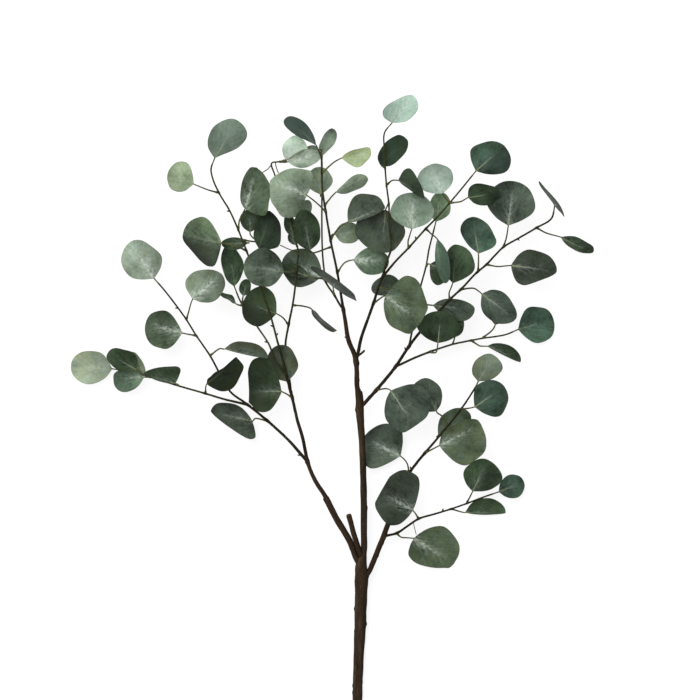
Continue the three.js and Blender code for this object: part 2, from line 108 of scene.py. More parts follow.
def ring_rows(node):
    """The rings of a solid, from one end point to the other.

    A point inside a loft has six edges, and an end point has four or eight. The points one
    edge from an end are the first ring, those two edges away the second, and so on.
    """
    mesh = frame["nodes"][node].data
    spots = np.empty(len(mesh.vertices) * 3)
    mesh.vertices.foreach_get("co", spots)
    points, merged = np.unique(spots.reshape(-1, 3).round(6), axis=0, return_inverse=True)
    corners = np.empty(len(mesh.loops), int)
    mesh.loops.foreach_get("vertex_index", corners)
    faces = merged.ravel()[corners].reshape(-1, 3)
    linked = np.zeros((len(points), len(points)), bool)
    linked[faces, np.roll(faces, 1, axis=1)] = True
    linked |= linked.T
    reached = np.zeros(len(points), bool)
    front = reached.copy()
    front[np.abs(linked.sum(0) - INNER_EDGES).argmax()] = True
    rows = []
    while front.any():
        rows.append(points[front])
        reached |= front
        front = linked[front].any(0) & ~reached
    return rows


def roundness(ring):
    """1 for a round ring and near 0 for a flat one: its second spread over its first."""
    spread = np.linalg.svd(ring - ring.mean(0), compute_uv=False)
    return spread[1] / spread[0]


def cage(node):
    """A solid as a stalk line with radii and, where it has a leaf, the blade's three lines."""
    rows = ring_rows(node)
    ends = roundness(rows[1]), roundness(rows[-2])
    has_leaf = min(ends) < FLAT_BELOW
    upside_down = ends[0] < ends[1] if has_leaf else rows[0][0, 1] > rows[-1][0, 1]
    if upside_down:
        rows.reverse()
    body = rows[1:-1]
    stalk = np.array(body[:-BLADE_RINGS] if has_leaf else body)
    centres = stalk.mean(1)
    radii = np.linalg.norm(stalk - centres[:, None], axis=-1).mean(1)
    shape = {"line": centres, "radii": radii}
    if has_leaf:
        blade = np.array(body[-BLADE_RINGS:])
        shape.update(blade_lines(blade, centres[-1], radii[-1], rows[-1][0]))
    return shape


def blade_lines(blade, base, neck, tip):
    """Left rim, midrib and right rim of a blade, with its base and its tip added.

    Along a ring's longest direction the first and last points are the rims, and the two in
    the middle are the top and the underside of the midrib.
    """
    loose = blade - blade.mean(1, keepdims=True)
    across = np.linalg.svd(loose, full_matrices=False)[2][:, 0]
    across *= np.sign(across @ across[BLADE_RINGS // 2])[:, None]
    if np.cross(tip - base, across[BLADE_RINGS // 2])[2] < 0:
        across = -across
    order = np.argsort((loose * across[:, None]).sum(-1), axis=1)
    ranked = np.take_along_axis(blade, order[..., None], axis=1)
    half = blade.shape[1] // 2
    rib = ranked[:, half - 1:half + 1].mean(1)
    edge = across[0] * neck
    return {
        "left": np.vstack([base + edge, ranked[:, -1], tip]),
        "rib": np.vstack([base, rib, tip]),
        "right": np.vstack([base - edge, ranked[:, 0], tip]),
    }


SHAPES = {node: cage(node) for node in SLOT_OF}
print("rings of main_stem", len(SHAPES["main_stem"]["line"]))

# %% [markdown]
# A shoot has to look as if it grew from its stem, so its line is run back to the stem's
# centre line. A smooth line through a few points is made of cubic pieces, each of which
# leaves a point with the mean slope of its neighbours. Blender's own curves would do as
# well, but plain arrays can be measured and bent further in the next steps.

# %% Smooth lines and where shoots start


def through(knots, values, at):
    """A smooth line through values at knots: cubic pieces whose slopes are the mean slopes."""
    slopes = np.gradient(values, knots, axis=0)
    piece = np.clip(np.searchsorted(knots, at, side="right") - 1, 0, len(knots) - 2)
    width = (knots[piece + 1] - knots[piece])[:, None]
    share = (at[:, None] - knots[piece][:, None]) / width
    rest = 1 - share
    return (
        (1 + 2 * share) * rest**2 * values[piece]
        + share * rest**2 * width * slopes[piece]
        + share**2 * (1 + 2 * rest) * values[piece + 1]
        - share**2 * rest * width * slopes[piece + 1]
    )


def travelled(points):
    """The distance from the first point to each point, along the line."""
    return np.concatenate([[0], np.cumsum(np.linalg.norm(np.diff(points, axis=0), axis=1))])


def fine_line(points, radii, step):
    """A smooth line with radii, in even steps: distances, centres and radii."""
    knots = travelled(points)
    count = max(int(knots[-1] / step), 6)
    at = np.linspace(0, knots[-1], count + 1)
    return at, through(knots, points, at), np.interp(at, knots, radii)


ROOT_REACH = np.linspace(0, 14 * MM, 29)


def root_on(axis, first, ahead):
    """The point of a stem's centre line that a shoot grows from.

    The shoot is run on backwards from its first ring. Of all pairs of a point on that run
    and a point on the centre line, the closest pair gives the root.
    """
    back = first - ahead * ROOT_REACH[:, None]
    apart = np.linalg.norm(back[:, None] - axis[None], axis=-1)
    return axis[np.unravel_index(apart.argmin(), apart.shape)[1]]


def rooted(shape, axis):
    """A shape whose line starts on the centre line of the stem it grows from."""
    line = shape["line"]
    root = root_on(axis, line[0], unit(line[1] - line[0]))
    radii = np.concatenate([shape["radii"][:1], shape["radii"]])
    return dict(shape, line=np.vstack([root, line]), radii=radii)


AXIS_STEP = 1 * MM
AXES = {}
KNUCKLES = {node: [] for node in STEMS}


def root_shoot(node, parent):
    """Roots one shoot on its parent stem and notes the place, where the stem will swell."""
    SHAPES[node] = rooted(SHAPES[node], AXES[parent])
    KNUCKLES[parent].append(SHAPES[node]["line"][0])


for node, (parent, _) in STEMS.items():
    if parent:
        root_shoot(node, parent)
    AXES[node] = fine_line(SHAPES[node]["line"], SHAPES[node]["radii"], AXIS_STEP)[1]
for node in LEAVES:
    root_shoot(node, node.split("_leaf_")[0])
root_shoot("cut_stub", "main_stem")
print("knuckles on main_stem", len(KNUCKLES["main_stem"]))

# %% [markdown]
# Finishes are node trees, which could be wired by hand in the shader editor. Written as sums
# they are easier to read and to change. This small class wraps one socket of a node tree:
# adding or multiplying two of them adds a Math node, and one method makes any other node.

# %% Shader sums


class Wire:
    """An output socket that takes part in sums as a number does."""

    def __init__(self, tree, socket=None):
        self.tree = tree
        self.socket = socket

    def make(self, kind, settings=None, sockets=None, out=0):
        """Any node: its type, its settings, the values or links of its sockets, its output."""
        node = self.tree.nodes.new(kind)
        for name, value in (settings or {}).items():
            setattr(node, name, value)
        for name, value in (sockets or {}).items():
            if isinstance(value, Wire):
                self.tree.links.new(value.socket, node.inputs[name])
            else:
                node.inputs[name].default_value = value
        return Wire(self.tree, node.outputs[out]) if len(node.outputs) else None

    def sum(self, operation, *values, clamp=False):
        """One Math node on these values."""
        settings = {"operation": operation, "use_clamp": clamp}
        return self.make("ShaderNodeMath", settings, dict(enumerate(values)))

    def __add__(self, other):
        return self.sum("ADD", self, other)

    __radd__ = __add__

    def __mul__(self, other):
        return self.sum("MULTIPLY", self, other)

    __rmul__ = __mul__

    def __sub__(self, other):
        return self.sum("SUBTRACT", self, other)

    def __rsub__(self, other):
        return self.sum("SUBTRACT", other, self)

    def __truediv__(self, other):
        return self.sum("DIVIDE", self, other)

    def __pow__(self, other):
        return self.sum("POWER", self, other)

    def __abs__(self):
        return self.sum("ABSOLUTE", self)

    def within(self):
        """The value held between 0 and 1."""
        return self.sum("ADD", self, 0.0, clamp=True)

    def ramp(self, start, end):
        """0 below start, 1 above end, and a straight line between; start may be the larger."""
        return ((self - start) / (end - start)).within()


print("shader sums ready")

# %% [markdown]
# Leaves, bark and floor all start from an empty material. Mixing colours, reading what a mesh
# keeps and cloudy noise come back in the leaf and bark finishes, so they are written once
# here. Colours are mixed by a Mix node, because a Math node would turn them grey.

# %% Colours, noise and materials


def painted(share, under, over):
    """A colour that goes from one to another as the share goes from 0 to 1."""
    colours = {0: share, 6: under, 7: over}
    return share.make("ShaderNodeMix", {"data_type": "RGBA"}, colours, out=2)


def colour(red, green, blue):
    """A colour that lets nothing through, as a colour socket takes it."""
    return (red, green, blue, 1.0)


def parted(tree, attribute):
    """The three numbers that a piece's mesh keeps under one attribute name."""
    kept = Wire(tree).make("ShaderNodeAttribute", {"attribute_name": attribute}, out="Vector")
    axes = kept.make("ShaderNodeSeparateXYZ", None, {0: kept}).socket.node.outputs
    return [Wire(tree, axis) for axis in axes]


def noise(spot, scale, detail=3.0, roughness=0.6):
    """Cloudy noise from 0 to 1; scale counts its bumps per unit of the vector it reads."""
    sockets = {"Vector": spot, "Scale": scale, "Detail": detail, "Roughness": roughness}
    return spot.make("ShaderNodeTexNoise", None, sockets, out="Fac")


def new_tree(name):
    """An empty material and its node tree."""
    finish = bpy.data.materials.new(name)
    finish.use_nodes = True
    finish.node_tree.nodes.clear()
    return finish, finish.node_tree


def finished(tint, rough, height, relief, shine):
    """Closes a material: colour, roughness and a bump of that depth, with a fixed shine."""
    sockets = {"Height": height, "Distance": relief, "Strength": 1.0}
    normal = tint.make("ShaderNodeBump", None, sockets)
    sockets = {"Base Color": tint, "Roughness": rough, "Normal": normal,
               "Specular IOR Level": shine}
    skin = tint.make("ShaderNodeBsdfPrincipled", None, sockets)
    skin.make("ShaderNodeOutputMaterial", None, {"Surface": skin})


print("material helpers ready")

# %% [markdown]
# A eucalyptus leaf is not one green. Its ground colour is cloudy, and one half is often painted
# paler than the other, as painted light and shade on a blade folded along its midrib. A white
# waxy bloom lies in streaks and specks beside the midrib, most of it near the base. The midrib
# starts yellow-green and fades half way, side veins hardly show, the rim is a thin dark line
# and the underside is paler. A painted picture on each leaf would do this too, but would be
# one picture per leaf. Here the mesh keeps where each point lies on its leaf, how stalk-like
# it is and how much bloom the leaf has, and one finish per tone draws everything from these,
# so a pattern follows its leaf wherever the leaf points.
# Scales in the list of noises are bumps per metre, and the other lengths are in millimetres.

# %% Leaf finishes
LEAF_TONES = {
    "silver": (0.300, 0.385, 0.302),
    "sage": (0.185, 0.243, 0.178),
    "green": (0.088, 0.130, 0.079),
    "dark": (0.030, 0.053, 0.026),
    "olive": (0.056, 0.077, 0.055),
    "teal": (0.040, 0.078, 0.054),
    "yellow": (0.335, 0.430, 0.265),
}
DEEP = (0.27, 0.32, 0.26)
PALE = (1.72, 1.66, 1.72)
WARM = (1.45, 1.22, 0.72)
COOL = (0.80, 1.0, 1.14)
BLOOM = colour(0.64, 0.72, 0.64)
RIB = colour(0.30, 0.33, 0.13)
RIB_END = colour(0.36, 0.42, 0.33)
STALK_GREEN = colour(0.105, 0.110, 0.036)
STALK_BROWN = colour(0.034, 0.033, 0.013)
RIM = colour(0.022, 0.020, 0.014)
VEIN_STEP = 5.5
BLOOM_REACH = 11.0
BLOOM_MOST = 0.82
RIB_EDGE = (0.85, 0.25)
RIM_EDGE = (0.8, 0.15)
LEAF_NOISES = {
    "cloud": (46, 3.0, 0.5),
    "drift": (78, 2.0, 0.5),
    "mottle": (260, 4.0, 0.62),
    "grain": (1100, 2.0, 0.7),
    "speck": (620, 1.0, 0.5),
}
CLOUDY, MOTTLED, GRAINY, BRUSHED = 2.0, 0.8, 0.4, 0.9
CALM_OF_PALE = 0.68
LEAF_RELIEF = 0.35 * MM
LEAF_SHINE = 0.16


def leaf_finish(tone, middle):
    """Cloudy ground, side veins, bloom, midrib, rim and underside, laid over one another."""
    finish, tree = new_tree("leaf_" + tone)
    spot = Wire(tree).make("ShaderNodeTexCoord", out="Object")
    share, aside, rim = parted(tree, "leaf_place")
    stalk, under, lit = parted(tree, "leaf_kind")
    warmth, dusty, ribbed = parted(tree, "leaf_light")
    flow = Wire(tree).make("ShaderNodeAttribute", {"attribute_name": "leaf_flow"}, out="Vector")
    across_flow = parted(tree, "leaf_flow")[1]
    apart = abs(aside)
    cloud, drift, mottle, grain, speck = (noise(spot, *facts) for facts in LEAF_NOISES.values())
    speck = speck.ramp(0.58, 0.66)
    brush = noise(flow, 1.0, 4.0, 0.6)

    strength = np.interp(middle[1], [0.1, 0.25], [1.0, CALM_OF_PALE])
    ground = (cloud - 0.5) * CLOUDY + (mottle - 0.5) * MOTTLED
    ground = ground + (grain - 0.5) * GRAINY + (brush - 0.5) * BRUSHED
    ground = (0.5 + ground * strength).within()
    casts = (DEEP, PALE, WARM, COOL)
    deep, pale, warm, cool = (colour(*np.multiply(middle, cast)) for cast in casts)
    tint = painted(ground, deep, pale)
    warmed = rim.ramp(9.0, 0.5) * 0.3 + drift.ramp(0.36, 0.66) * 0.7
    tint = painted((warmed * warmth).within(), tint, warm)
    tint = painted((warmth * -1.0).within(), tint, cool)
    line = across_flow * (2.0 / VEIN_STEP) + cloud * 0.9
    vein = abs(line.sum("FRACT", line) - 0.5).ramp(0.42, 0.5) * apart.ramp(0.5, 3.0)
    vein = vein * rim.ramp(0.5, 4.0) * mottle.ramp(0.35, 0.6) * (1 - stalk)
    # Lit brings each leaf's lightness and its painted light and shade, one half lighter than the
    # other.
    light = lit * (1 + vein * 0.2)
    tint = tint.make("ShaderNodeVectorMath", {"operation": "SCALE"}, {0: tint, "Scale": light})

    beside = (1 - apart / BLOOM_REACH).within() ** 1.5 * share.ramp(0.9, 0.15)
    streaks = brush.ramp(0.42, 0.72) * 0.7 + mottle.ramp(0.46, 0.68) * 0.4 + speck * 0.4
    core = apart.ramp(2.4, 0.4) * share.ramp(0.8, 0.3) * mottle.ramp(0.42, 0.55)
    powder = ((beside * streaks + core * 0.4) * dusty).within() * (1 - stalk) * BLOOM_MOST
    tint = painted(powder, tint, BLOOM)

    rib = apart.ramp(*RIB_EDGE) * share.ramp(0.65, 0.1) * ribbed
    tint = painted((rib * 0.85).within(), tint, painted(share.ramp(0.1, 0.35), RIB, RIB_END))
    tint = painted(rim.ramp(*RIM_EDGE) * (1 - stalk) * 0.5, tint, RIM)
    tint = painted(under * (1 - stalk) * 0.15, tint, BLOOM)
    stalk_tint = painted(cloud.ramp(0.35, 0.65), STALK_BROWN, STALK_GREEN)
    tint = painted(stalk, tint, stalk_tint)

    rough = 0.58 + (grain - 0.5) * 0.2 + powder * 0.2
    height = vein * 0.3 + mottle * 0.45 + grain * 0.15 + brush * 0.3 - rib * 0.5
    finished(tint, rough, height, LEAF_RELIEF, LEAF_SHINE)
    return finish


LEAF_FINISHES = {tone: leaf_finish(tone, middle) for tone, middle in LEAF_TONES.items()}
print("leaf finishes", sorted(LEAF_FINISHES))

# %% [markdown]
# The stems are brown and finely ridged where they are thick, and olive green and smooth
# where they are young. The mesh keeps a stretched place for each point, so that the noise
# runs along the stem, together with how young the bark is, where the wood is cut and how
# far each point faces the upper left. That side is painted lighter and the other sides
# darker, as painted light and shade.
# Half-grown stems are the darkest. A picture of bark wrapped round each stem would show a
# seam, and one finish for all stems lets brown run into green.

# %% Bark finish
BARK_DEEP = colour(0.008, 0.0045, 0.0025)
BARK_PALE = colour(0.088, 0.055, 0.031)
YOUNG_DEEP = colour(0.007, 0.008, 0.003)
YOUNG_PALE = colour(0.094, 0.098, 0.033)
LICHEN = colour(0.100, 0.105, 0.050)
WOOD_DEEP = colour(0.16, 0.10, 0.055)
WOOD_PALE = colour(0.42, 0.31, 0.19)
# Painted shade: the lightness left on the side of a stem that faces away from the upper left.
SHADED_SIDE = 0.2
HALF_GROWN_DARK = 0.48
RING_PACE = 9.0
BARK_RELIEF = 1.0 * MM
BARK_SHINE = 0.1


def bark_finish():
    """Streaks along the stem in two browns or two olives, painted light and shade by side, and rings
    where it is cut.
    """
    finish, tree = new_tree("bark")
    place = Wire(tree).make("ShaderNodeAttribute", {"attribute_name": "stem_place"}, out="Vector")
    young, cut, ring = parted(tree, "stem_kind")
    facing = Wire(tree).make("ShaderNodeAttribute", {"attribute_name": "stem_facing"}, out="Fac")
    # Painted light and shade: the side of a stem that faces the upper left is lighter, the others
    # darker.
    painted_side_light = SHADED_SIDE + facing.ramp(-0.45, 1.0) ** 1.6 * (1 - SHADED_SIDE)
    streak = noise(place, 900, 4.0, 0.65)
    patch = noise(place, 170, 3.0, 0.5)
    fleck = noise(place, 2600, 2.0, 0.6)
    ground = streak.ramp(0.33, 0.68) * 0.55 + patch.ramp(0.36, 0.66) * 0.35
    ground = ground + fleck * 0.2 - 0.05
    old_bark = painted(ground.within(), BARK_DEEP, BARK_PALE)
    old_bark = painted(patch.ramp(0.62, 0.74) * streak.ramp(0.4, 0.6) * 0.5, old_bark, LICHEN)
    young_bark = painted(ground.within(), YOUNG_DEEP, YOUNG_PALE)
    tint = painted((young + (patch - 0.5) * 0.6 * young).within(), old_bark, young_bark)
    rings = abs(ring.sum("SINE", ring * RING_PACE))
    wood = painted((rings * 0.6 + fleck * 0.4).within(), WOOD_DEEP, WOOD_PALE)
    half_grown = (young * (1 - young) * 6.0).within()
    # Painted light and shade from the side, times the darker tone of half-grown bark.
    painted_shade_and_age = painted_side_light * (1 - half_grown * HALF_GROWN_DARK)
    tint = tint.make("ShaderNodeVectorMath", {"operation": "SCALE"}, {0: tint, "Scale": painted_shade_and_age})
    tint = painted(cut, tint, wood)
    rough = 0.84 - young * 0.2 + streak * 0.1
    height = streak * 0.8 + fleck * 0.3 + patch * 0.3
    finished(tint, rough, height, BARK_RELIEF, BARK_SHINE)
    return finish


BARK = bark_finish()
print("bark finish", BARK.name)

# %% [markdown]
# Every new piece is a closed skin over rings of points. The rings are one array, quads join
# each ring to the next and a fan of triangles closes each end. A curve with a bevel would
# make a stem too, but not a leaf, and it keeps no facts for the finishes. The mesh is filled
# from whole arrays, and its attributes carry what the finishes read.

# %% Skins from rings


def skin(name, rings, foot, tip, finish, facts):
    """A closed mesh over n rings of m points, with a fan to one point at each end."""
    count, around = rings.shape[:2]
    spots = np.concatenate([rings.reshape(-1, 3), foot[None], tip[None]])
    index = np.arange(count * around).reshape(count, around)
    beside = np.roll(index, -1, axis=1)
    quads = np.stack([index[:-1], index[1:], beside[1:], beside[:-1]], axis=-1).reshape(-1, 4)
    foot_at = np.full(around, count * around)
    foot_fan = np.stack([foot_at, index[0], beside[0]], axis=-1)
    tip_fan = np.stack([foot_at + 1, beside[-1], index[-1]], axis=-1)
    mesh = bpy.data.meshes.new(name)
    mesh.from_pydata(spots, [], quads.tolist() + foot_fan.tolist() + tip_fan.tolist())
    mesh.polygons.foreach_set("use_smooth", np.ones(len(mesh.polygons), bool))
    for label, values in facts.items():
        full = np.concatenate([values.reshape(count * around, -1), values[0, :1], values[-1, :1]])
        kind, field = ("FLOAT_VECTOR", "vector") if full.shape[1] == 3 else ("FLOAT", "value")
        kept = mesh.attributes.new(label, kind, "POINT")
        kept.data.foreach_set(field, full.astype(np.float32).ravel())
    mesh.materials.append(finish)
    mesh.update()
    piece = bpy.data.objects.new(name, mesh)
    bpy.context.scene.collection.objects.link(piece)
    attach(piece, "root")
    return piece


def carried(side, ahead):
    """A side vector carried along a line, square to each direction in turn."""
    sides = []
    for direction in ahead:
        side = unit(side - direction * (side @ direction))
        sides.append(side)
    return np.array(sides)


print("skins ready")

# %% [markdown]
# A leaf hangs on a thin stalk with a small collar where it leaves the twig. The two could be
# separate pieces, but as one skin the stalk runs into the midrib without a seam. So a ring of
# the stalk is a circle with the same points as a ring of the blade: across from the right rim
# to the left one over the top, and back underneath.

# %% Stalk surface
TOP = np.array([0, 0.02, 0.05, 0.1, 0.2, 0.34, 0.48, 0.62, 0.75, 0.86, 0.94, 0.985])
TOP = np.concatenate([[-1], -TOP[:0:-1], TOP, [1]])
ACROSS = np.concatenate([TOP, TOP[-2:0:-1]])
FACE = np.where(np.arange(len(ACROSS)) < len(TOP), 1.0, -1.0)
OUTLINE = np.concatenate([[2.5, 5, 8, 12, 16], np.arange(20, 171, 5), [174, 177.0]])
STALK_STEP = 1.6 * MM
COLLAR = 0.55
COLLAR_AT = 2.2 * MM
COLLAR_SPREAD = 1.6 * MM


def stalk_rings(line, radii, side):
    """Circles along a stalk: a share of side and the height of a circle over that share, both
    times the radius, with a bell-shaped collar near the foot."""
    at, centres, thick = fine_line(line, radii, STALK_STEP)
    collar = 1 + COLLAR * np.exp(-((at - COLLAR_AT) / COLLAR_SPREAD) ** 2)
    ahead = unit(np.gradient(centres, axis=0))
    sides = carried(side, ahead[::-1])[::-1]
    ups = np.cross(ahead, sides)
    lift = FACE * np.sqrt(1 - ACROSS**2)
    reach = (thick * collar)[:, None, None]
    rings = ACROSS[:, None] * sides[:, None] + lift[:, None] * ups[:, None]
    return centres[:, None] + rings * reach


print("stalk surface ready,", len(ACROSS), "points around")

# %% [markdown]
# The blade is thin, a little cupped, and never quite flat: it bends up towards the rims, thins
# out, keeps a rib below and a crease above, and waves differently on each leaf. A flat cut-out
# would look like paper from the side. So the ring of the stalk is drawn out to both rims along
# the three lines that were read from the solid.

# %% Blade surface
BLADE_THICK = 0.55 * MM
RIM_WAVE = 0.027
NARROWEST = 0.1 * MM
LOBE_SPREAD = 20
STRAIGHT_BEND = 0.35
ROOT_SPREAD = 15
RIB_SPREAD = 0.9 * MM
CREASE = 0.22 * MM
RIB_DEPTH = 0.75
NOTCH_SPREAD = 14
ANY_PHASE = (0, 6.3)


def blade_rings(shape, neck, luck, notch, lobes):
    """The blade as a function of an angle round its outline and a share across it.

    At each angle the three lines give the midrib and the two rims. A point at a share across
    lies that share of the way out, raised by the rim's lift times a mix of the share and its
    square, and stands off by half the thickness, the rib or crease, and two slow waves. A
    notched tip is drawn back by that share of the length, and a lobe of (side, angle, reach)
    pushes the rim of that side out, or in, as a bell round its angle.
    """
    angle = np.radians(OUTLINE)
    lines = [through(BLADE_STATIONS, shape[name], OUTLINE) for name in ("left", "rib", "right")]
    left, rib, right = lines
    side = unit(left - right)
    ahead = unit(np.gradient(np.vstack([shape["rib"][:1], rib, shape["rib"][-1:]]), axis=0))[1:-1]
    up = unit(np.cross(ahead, side))
    waves = 1 + RIM_WAVE * np.sin(np.outer([3, 3, 5, 5], angle) + luck.uniform(*ANY_PHASE, (4, 1)))
    wide_left = dot(left - rib, side)[:, 0]
    wide_right = dot(rib - right, side)[:, 0]
    lift_left = left - rib - side * wide_left[:, None]
    lift_right = right - rib + side * wide_right[:, None]
    wide_left = np.maximum(wide_left * waves[0] * waves[2], NARROWEST)
    wide_right = np.maximum(wide_right * waves[1] * waves[3], NARROWEST)
    for on_side, at, reach in lobes:
        bell = np.exp(-(((OUTLINE - at) / LOBE_SPREAD) ** 2)) * np.sin(angle) ** 0.5 * reach * MM
        wide_left = wide_left + bell * (on_side == "left")
        wide_right = wide_right + bell * (on_side == "right")

    out = np.abs(ACROSS)
    on_left = ACROSS > 0
    wide = np.where(on_left, wide_left[:, None], wide_right[:, None])
    aside = ACROSS * wide
    lift = np.where(on_left[:, None], lift_left[:, None], lift_right[:, None])
    bend = (STRAIGHT_BEND * out + (1 - STRAIGHT_BEND) * out**2)[:, None]

    share = ((1 - np.cos(angle)) / 2)[:, None]
    root = np.exp(-((OUTLINE / ROOT_SPREAD) ** 2))[:, None]
    thin = np.clip(1 - out**2, 0, 1)
    half = root * neck * thin**0.5 + (1 - root) * BLADE_THICK / 2 * thin**0.4
    ridge = np.exp(-((aside / RIB_SPREAD) ** 2)) * (1 - root) * (1 - share)
    crease = np.where(FACE > 0, -CREASE, -RIB_DEPTH * neck) * ridge
    size = np.sin(angle)[:, None] * out**2
    roll = luck.uniform(*ANY_PHASE, 4)
    wave = np.sin(3 * angle[:, None] + roll[0] + on_left * roll[1]) * 0.7
    wave = wave + np.sin(5 * angle[:, None] + roll[2] + on_left * roll[3]) * 0.35
    off = FACE * half + crease + size * wave * MM * luck.uniform(0.6, 1.3)

    drawn_back = notch * np.exp(-(((180 - OUTLINE) / NOTCH_SPREAD) ** 2))[:, None]
    run = shape["rib"][-1] - shape["rib"][0]
    rings = rib[:, None] + side[:, None] * aside[..., None] + lift * bend
    rings = rings + up[:, None] * off[..., None] - drawn_back[..., None] * run
    edge = (1 - out) * wide
    return rings, share + 0 * aside, aside, edge


print("blade surface ready,", len(OUTLINE), "rings")

# %% [markdown]
# Stalk and blade now become one piece, and its mesh is told what the leaf finish reads: the
# place of each point on the leaf, how light that place is, how warm and dusty the leaf is and
# which way its side veins run. The light could come from lamps alone, but leaves differ in
# tone, so each leaf brings its own lightness and a change from base to tip, and with it painted
# light and shade: one half lighter than the other, as on a folded blade lit from one side.

# %% A leaf as a piece
STALK_SWELL = 1.15
STALK_RIM = 9
FLOOR_CLEAR = 0.2 * MM
NECK_SPREAD = 11
HALF_CONTRAST = 0.55
DARKEST = 0.12
VEIN_ALONG, VEIN_ASIDE = 0.9, 0.43
STREAK_LONG, STREAK_WIDE = 12, 2
LEAF_SHIFT, HALF_SHIFT = 40, 17


def leaf(name, shape, tone, luck, lit=1.0, pale=0.0, fade=0.0, dust=0.25, rib=0.6, notch=0.0,
         warm=0.2, lobes=()):
    """One leaf with its stalk, as a piece of the branch.

    Lit is how light it is for its tone. Pale is above 0 if the left half is painted paler, as
    painted light and shade on a folded blade, and below 0 if the right half is, fade above 0 if
    it darkens towards its tip. Dust is how much bloom it has, rib how plain its midrib is, notch
    how deep its tip, and warm is above 0 for a yellowish leaf, below 0 for a bluish one. Lobes
    push the rim out or in, as blade_rings says.
    """
    radii = shape["radii"] * STALK_SWELL
    neck = radii[-1]
    side = unit(shape["left"][1] - shape["right"][1])
    stalk = stalk_rings(shape["line"], radii, side)
    blade, share, aside, edge = blade_rings(shape, neck, luck, notch, lobes)
    rings = np.concatenate([stalk, blade])
    rings[..., 2] = np.maximum(rings[..., 2], FLOOR_CLEAR)
    run = shape["rib"][-1] - shape["rib"][0]
    tip = shape["rib"][-1] - notch * run
    tip[2] = max(tip[2], FLOOR_CLEAR)
    bare = np.zeros(stalk.shape[:2])
    whole = np.zeros(rings.shape[:2])
    neck_fade = np.exp(-((OUTLINE / NECK_SPREAD) ** 2))[:, None] + 0 * aside
    place = np.stack([np.concatenate([bare, share]), np.concatenate([bare, aside / MM]),
                      np.concatenate([bare + STALK_RIM, edge / MM])], axis=-1)
    under = np.broadcast_to(FACE < 0, rings.shape[:2])
    fortune = luck.uniform(0.0, 1.0)
    # Painted light and shade: one half of the blade lighter and the other darker, as a blade folded
    # along its midrib looks when lit from one side.
    painted_half_shade = 1 + HALF_CONTRAST * pale * np.sign(ACROSS) * np.abs(ACROSS) ** 0.4
    fading = 1 + fade * (1 - 2 * place[..., 0])
    kind = np.stack([np.concatenate([bare + 1, neck_fade]), under,
                     lit * np.maximum(painted_half_shade, DARKEST) * np.maximum(fading, DARKEST)], axis=-1)
    light = np.stack([whole + warm, whole + dust, whole + rib], axis=-1)
    reach = np.concatenate([bare, share * np.linalg.norm(run) / MM])
    apart = np.abs(place[..., 1])
    flow = np.stack([(VEIN_ALONG * reach + VEIN_ASIDE * apart) / STREAK_LONG,
                     (VEIN_ALONG * apart - VEIN_ASIDE * reach) / STREAK_WIDE,
                     LEAF_SHIFT * fortune + HALF_SHIFT * (place[..., 1] > 0)], axis=-1)
    facts = {"leaf_place": place, "leaf_kind": kind, "leaf_light": light, "leaf_flow": flow}
    piece = skin(name, rings, shape["line"][0], tip, LEAF_FINISHES[tone], facts)
    "leaf_" + tone
    return piece


print("leaf pieces ready")
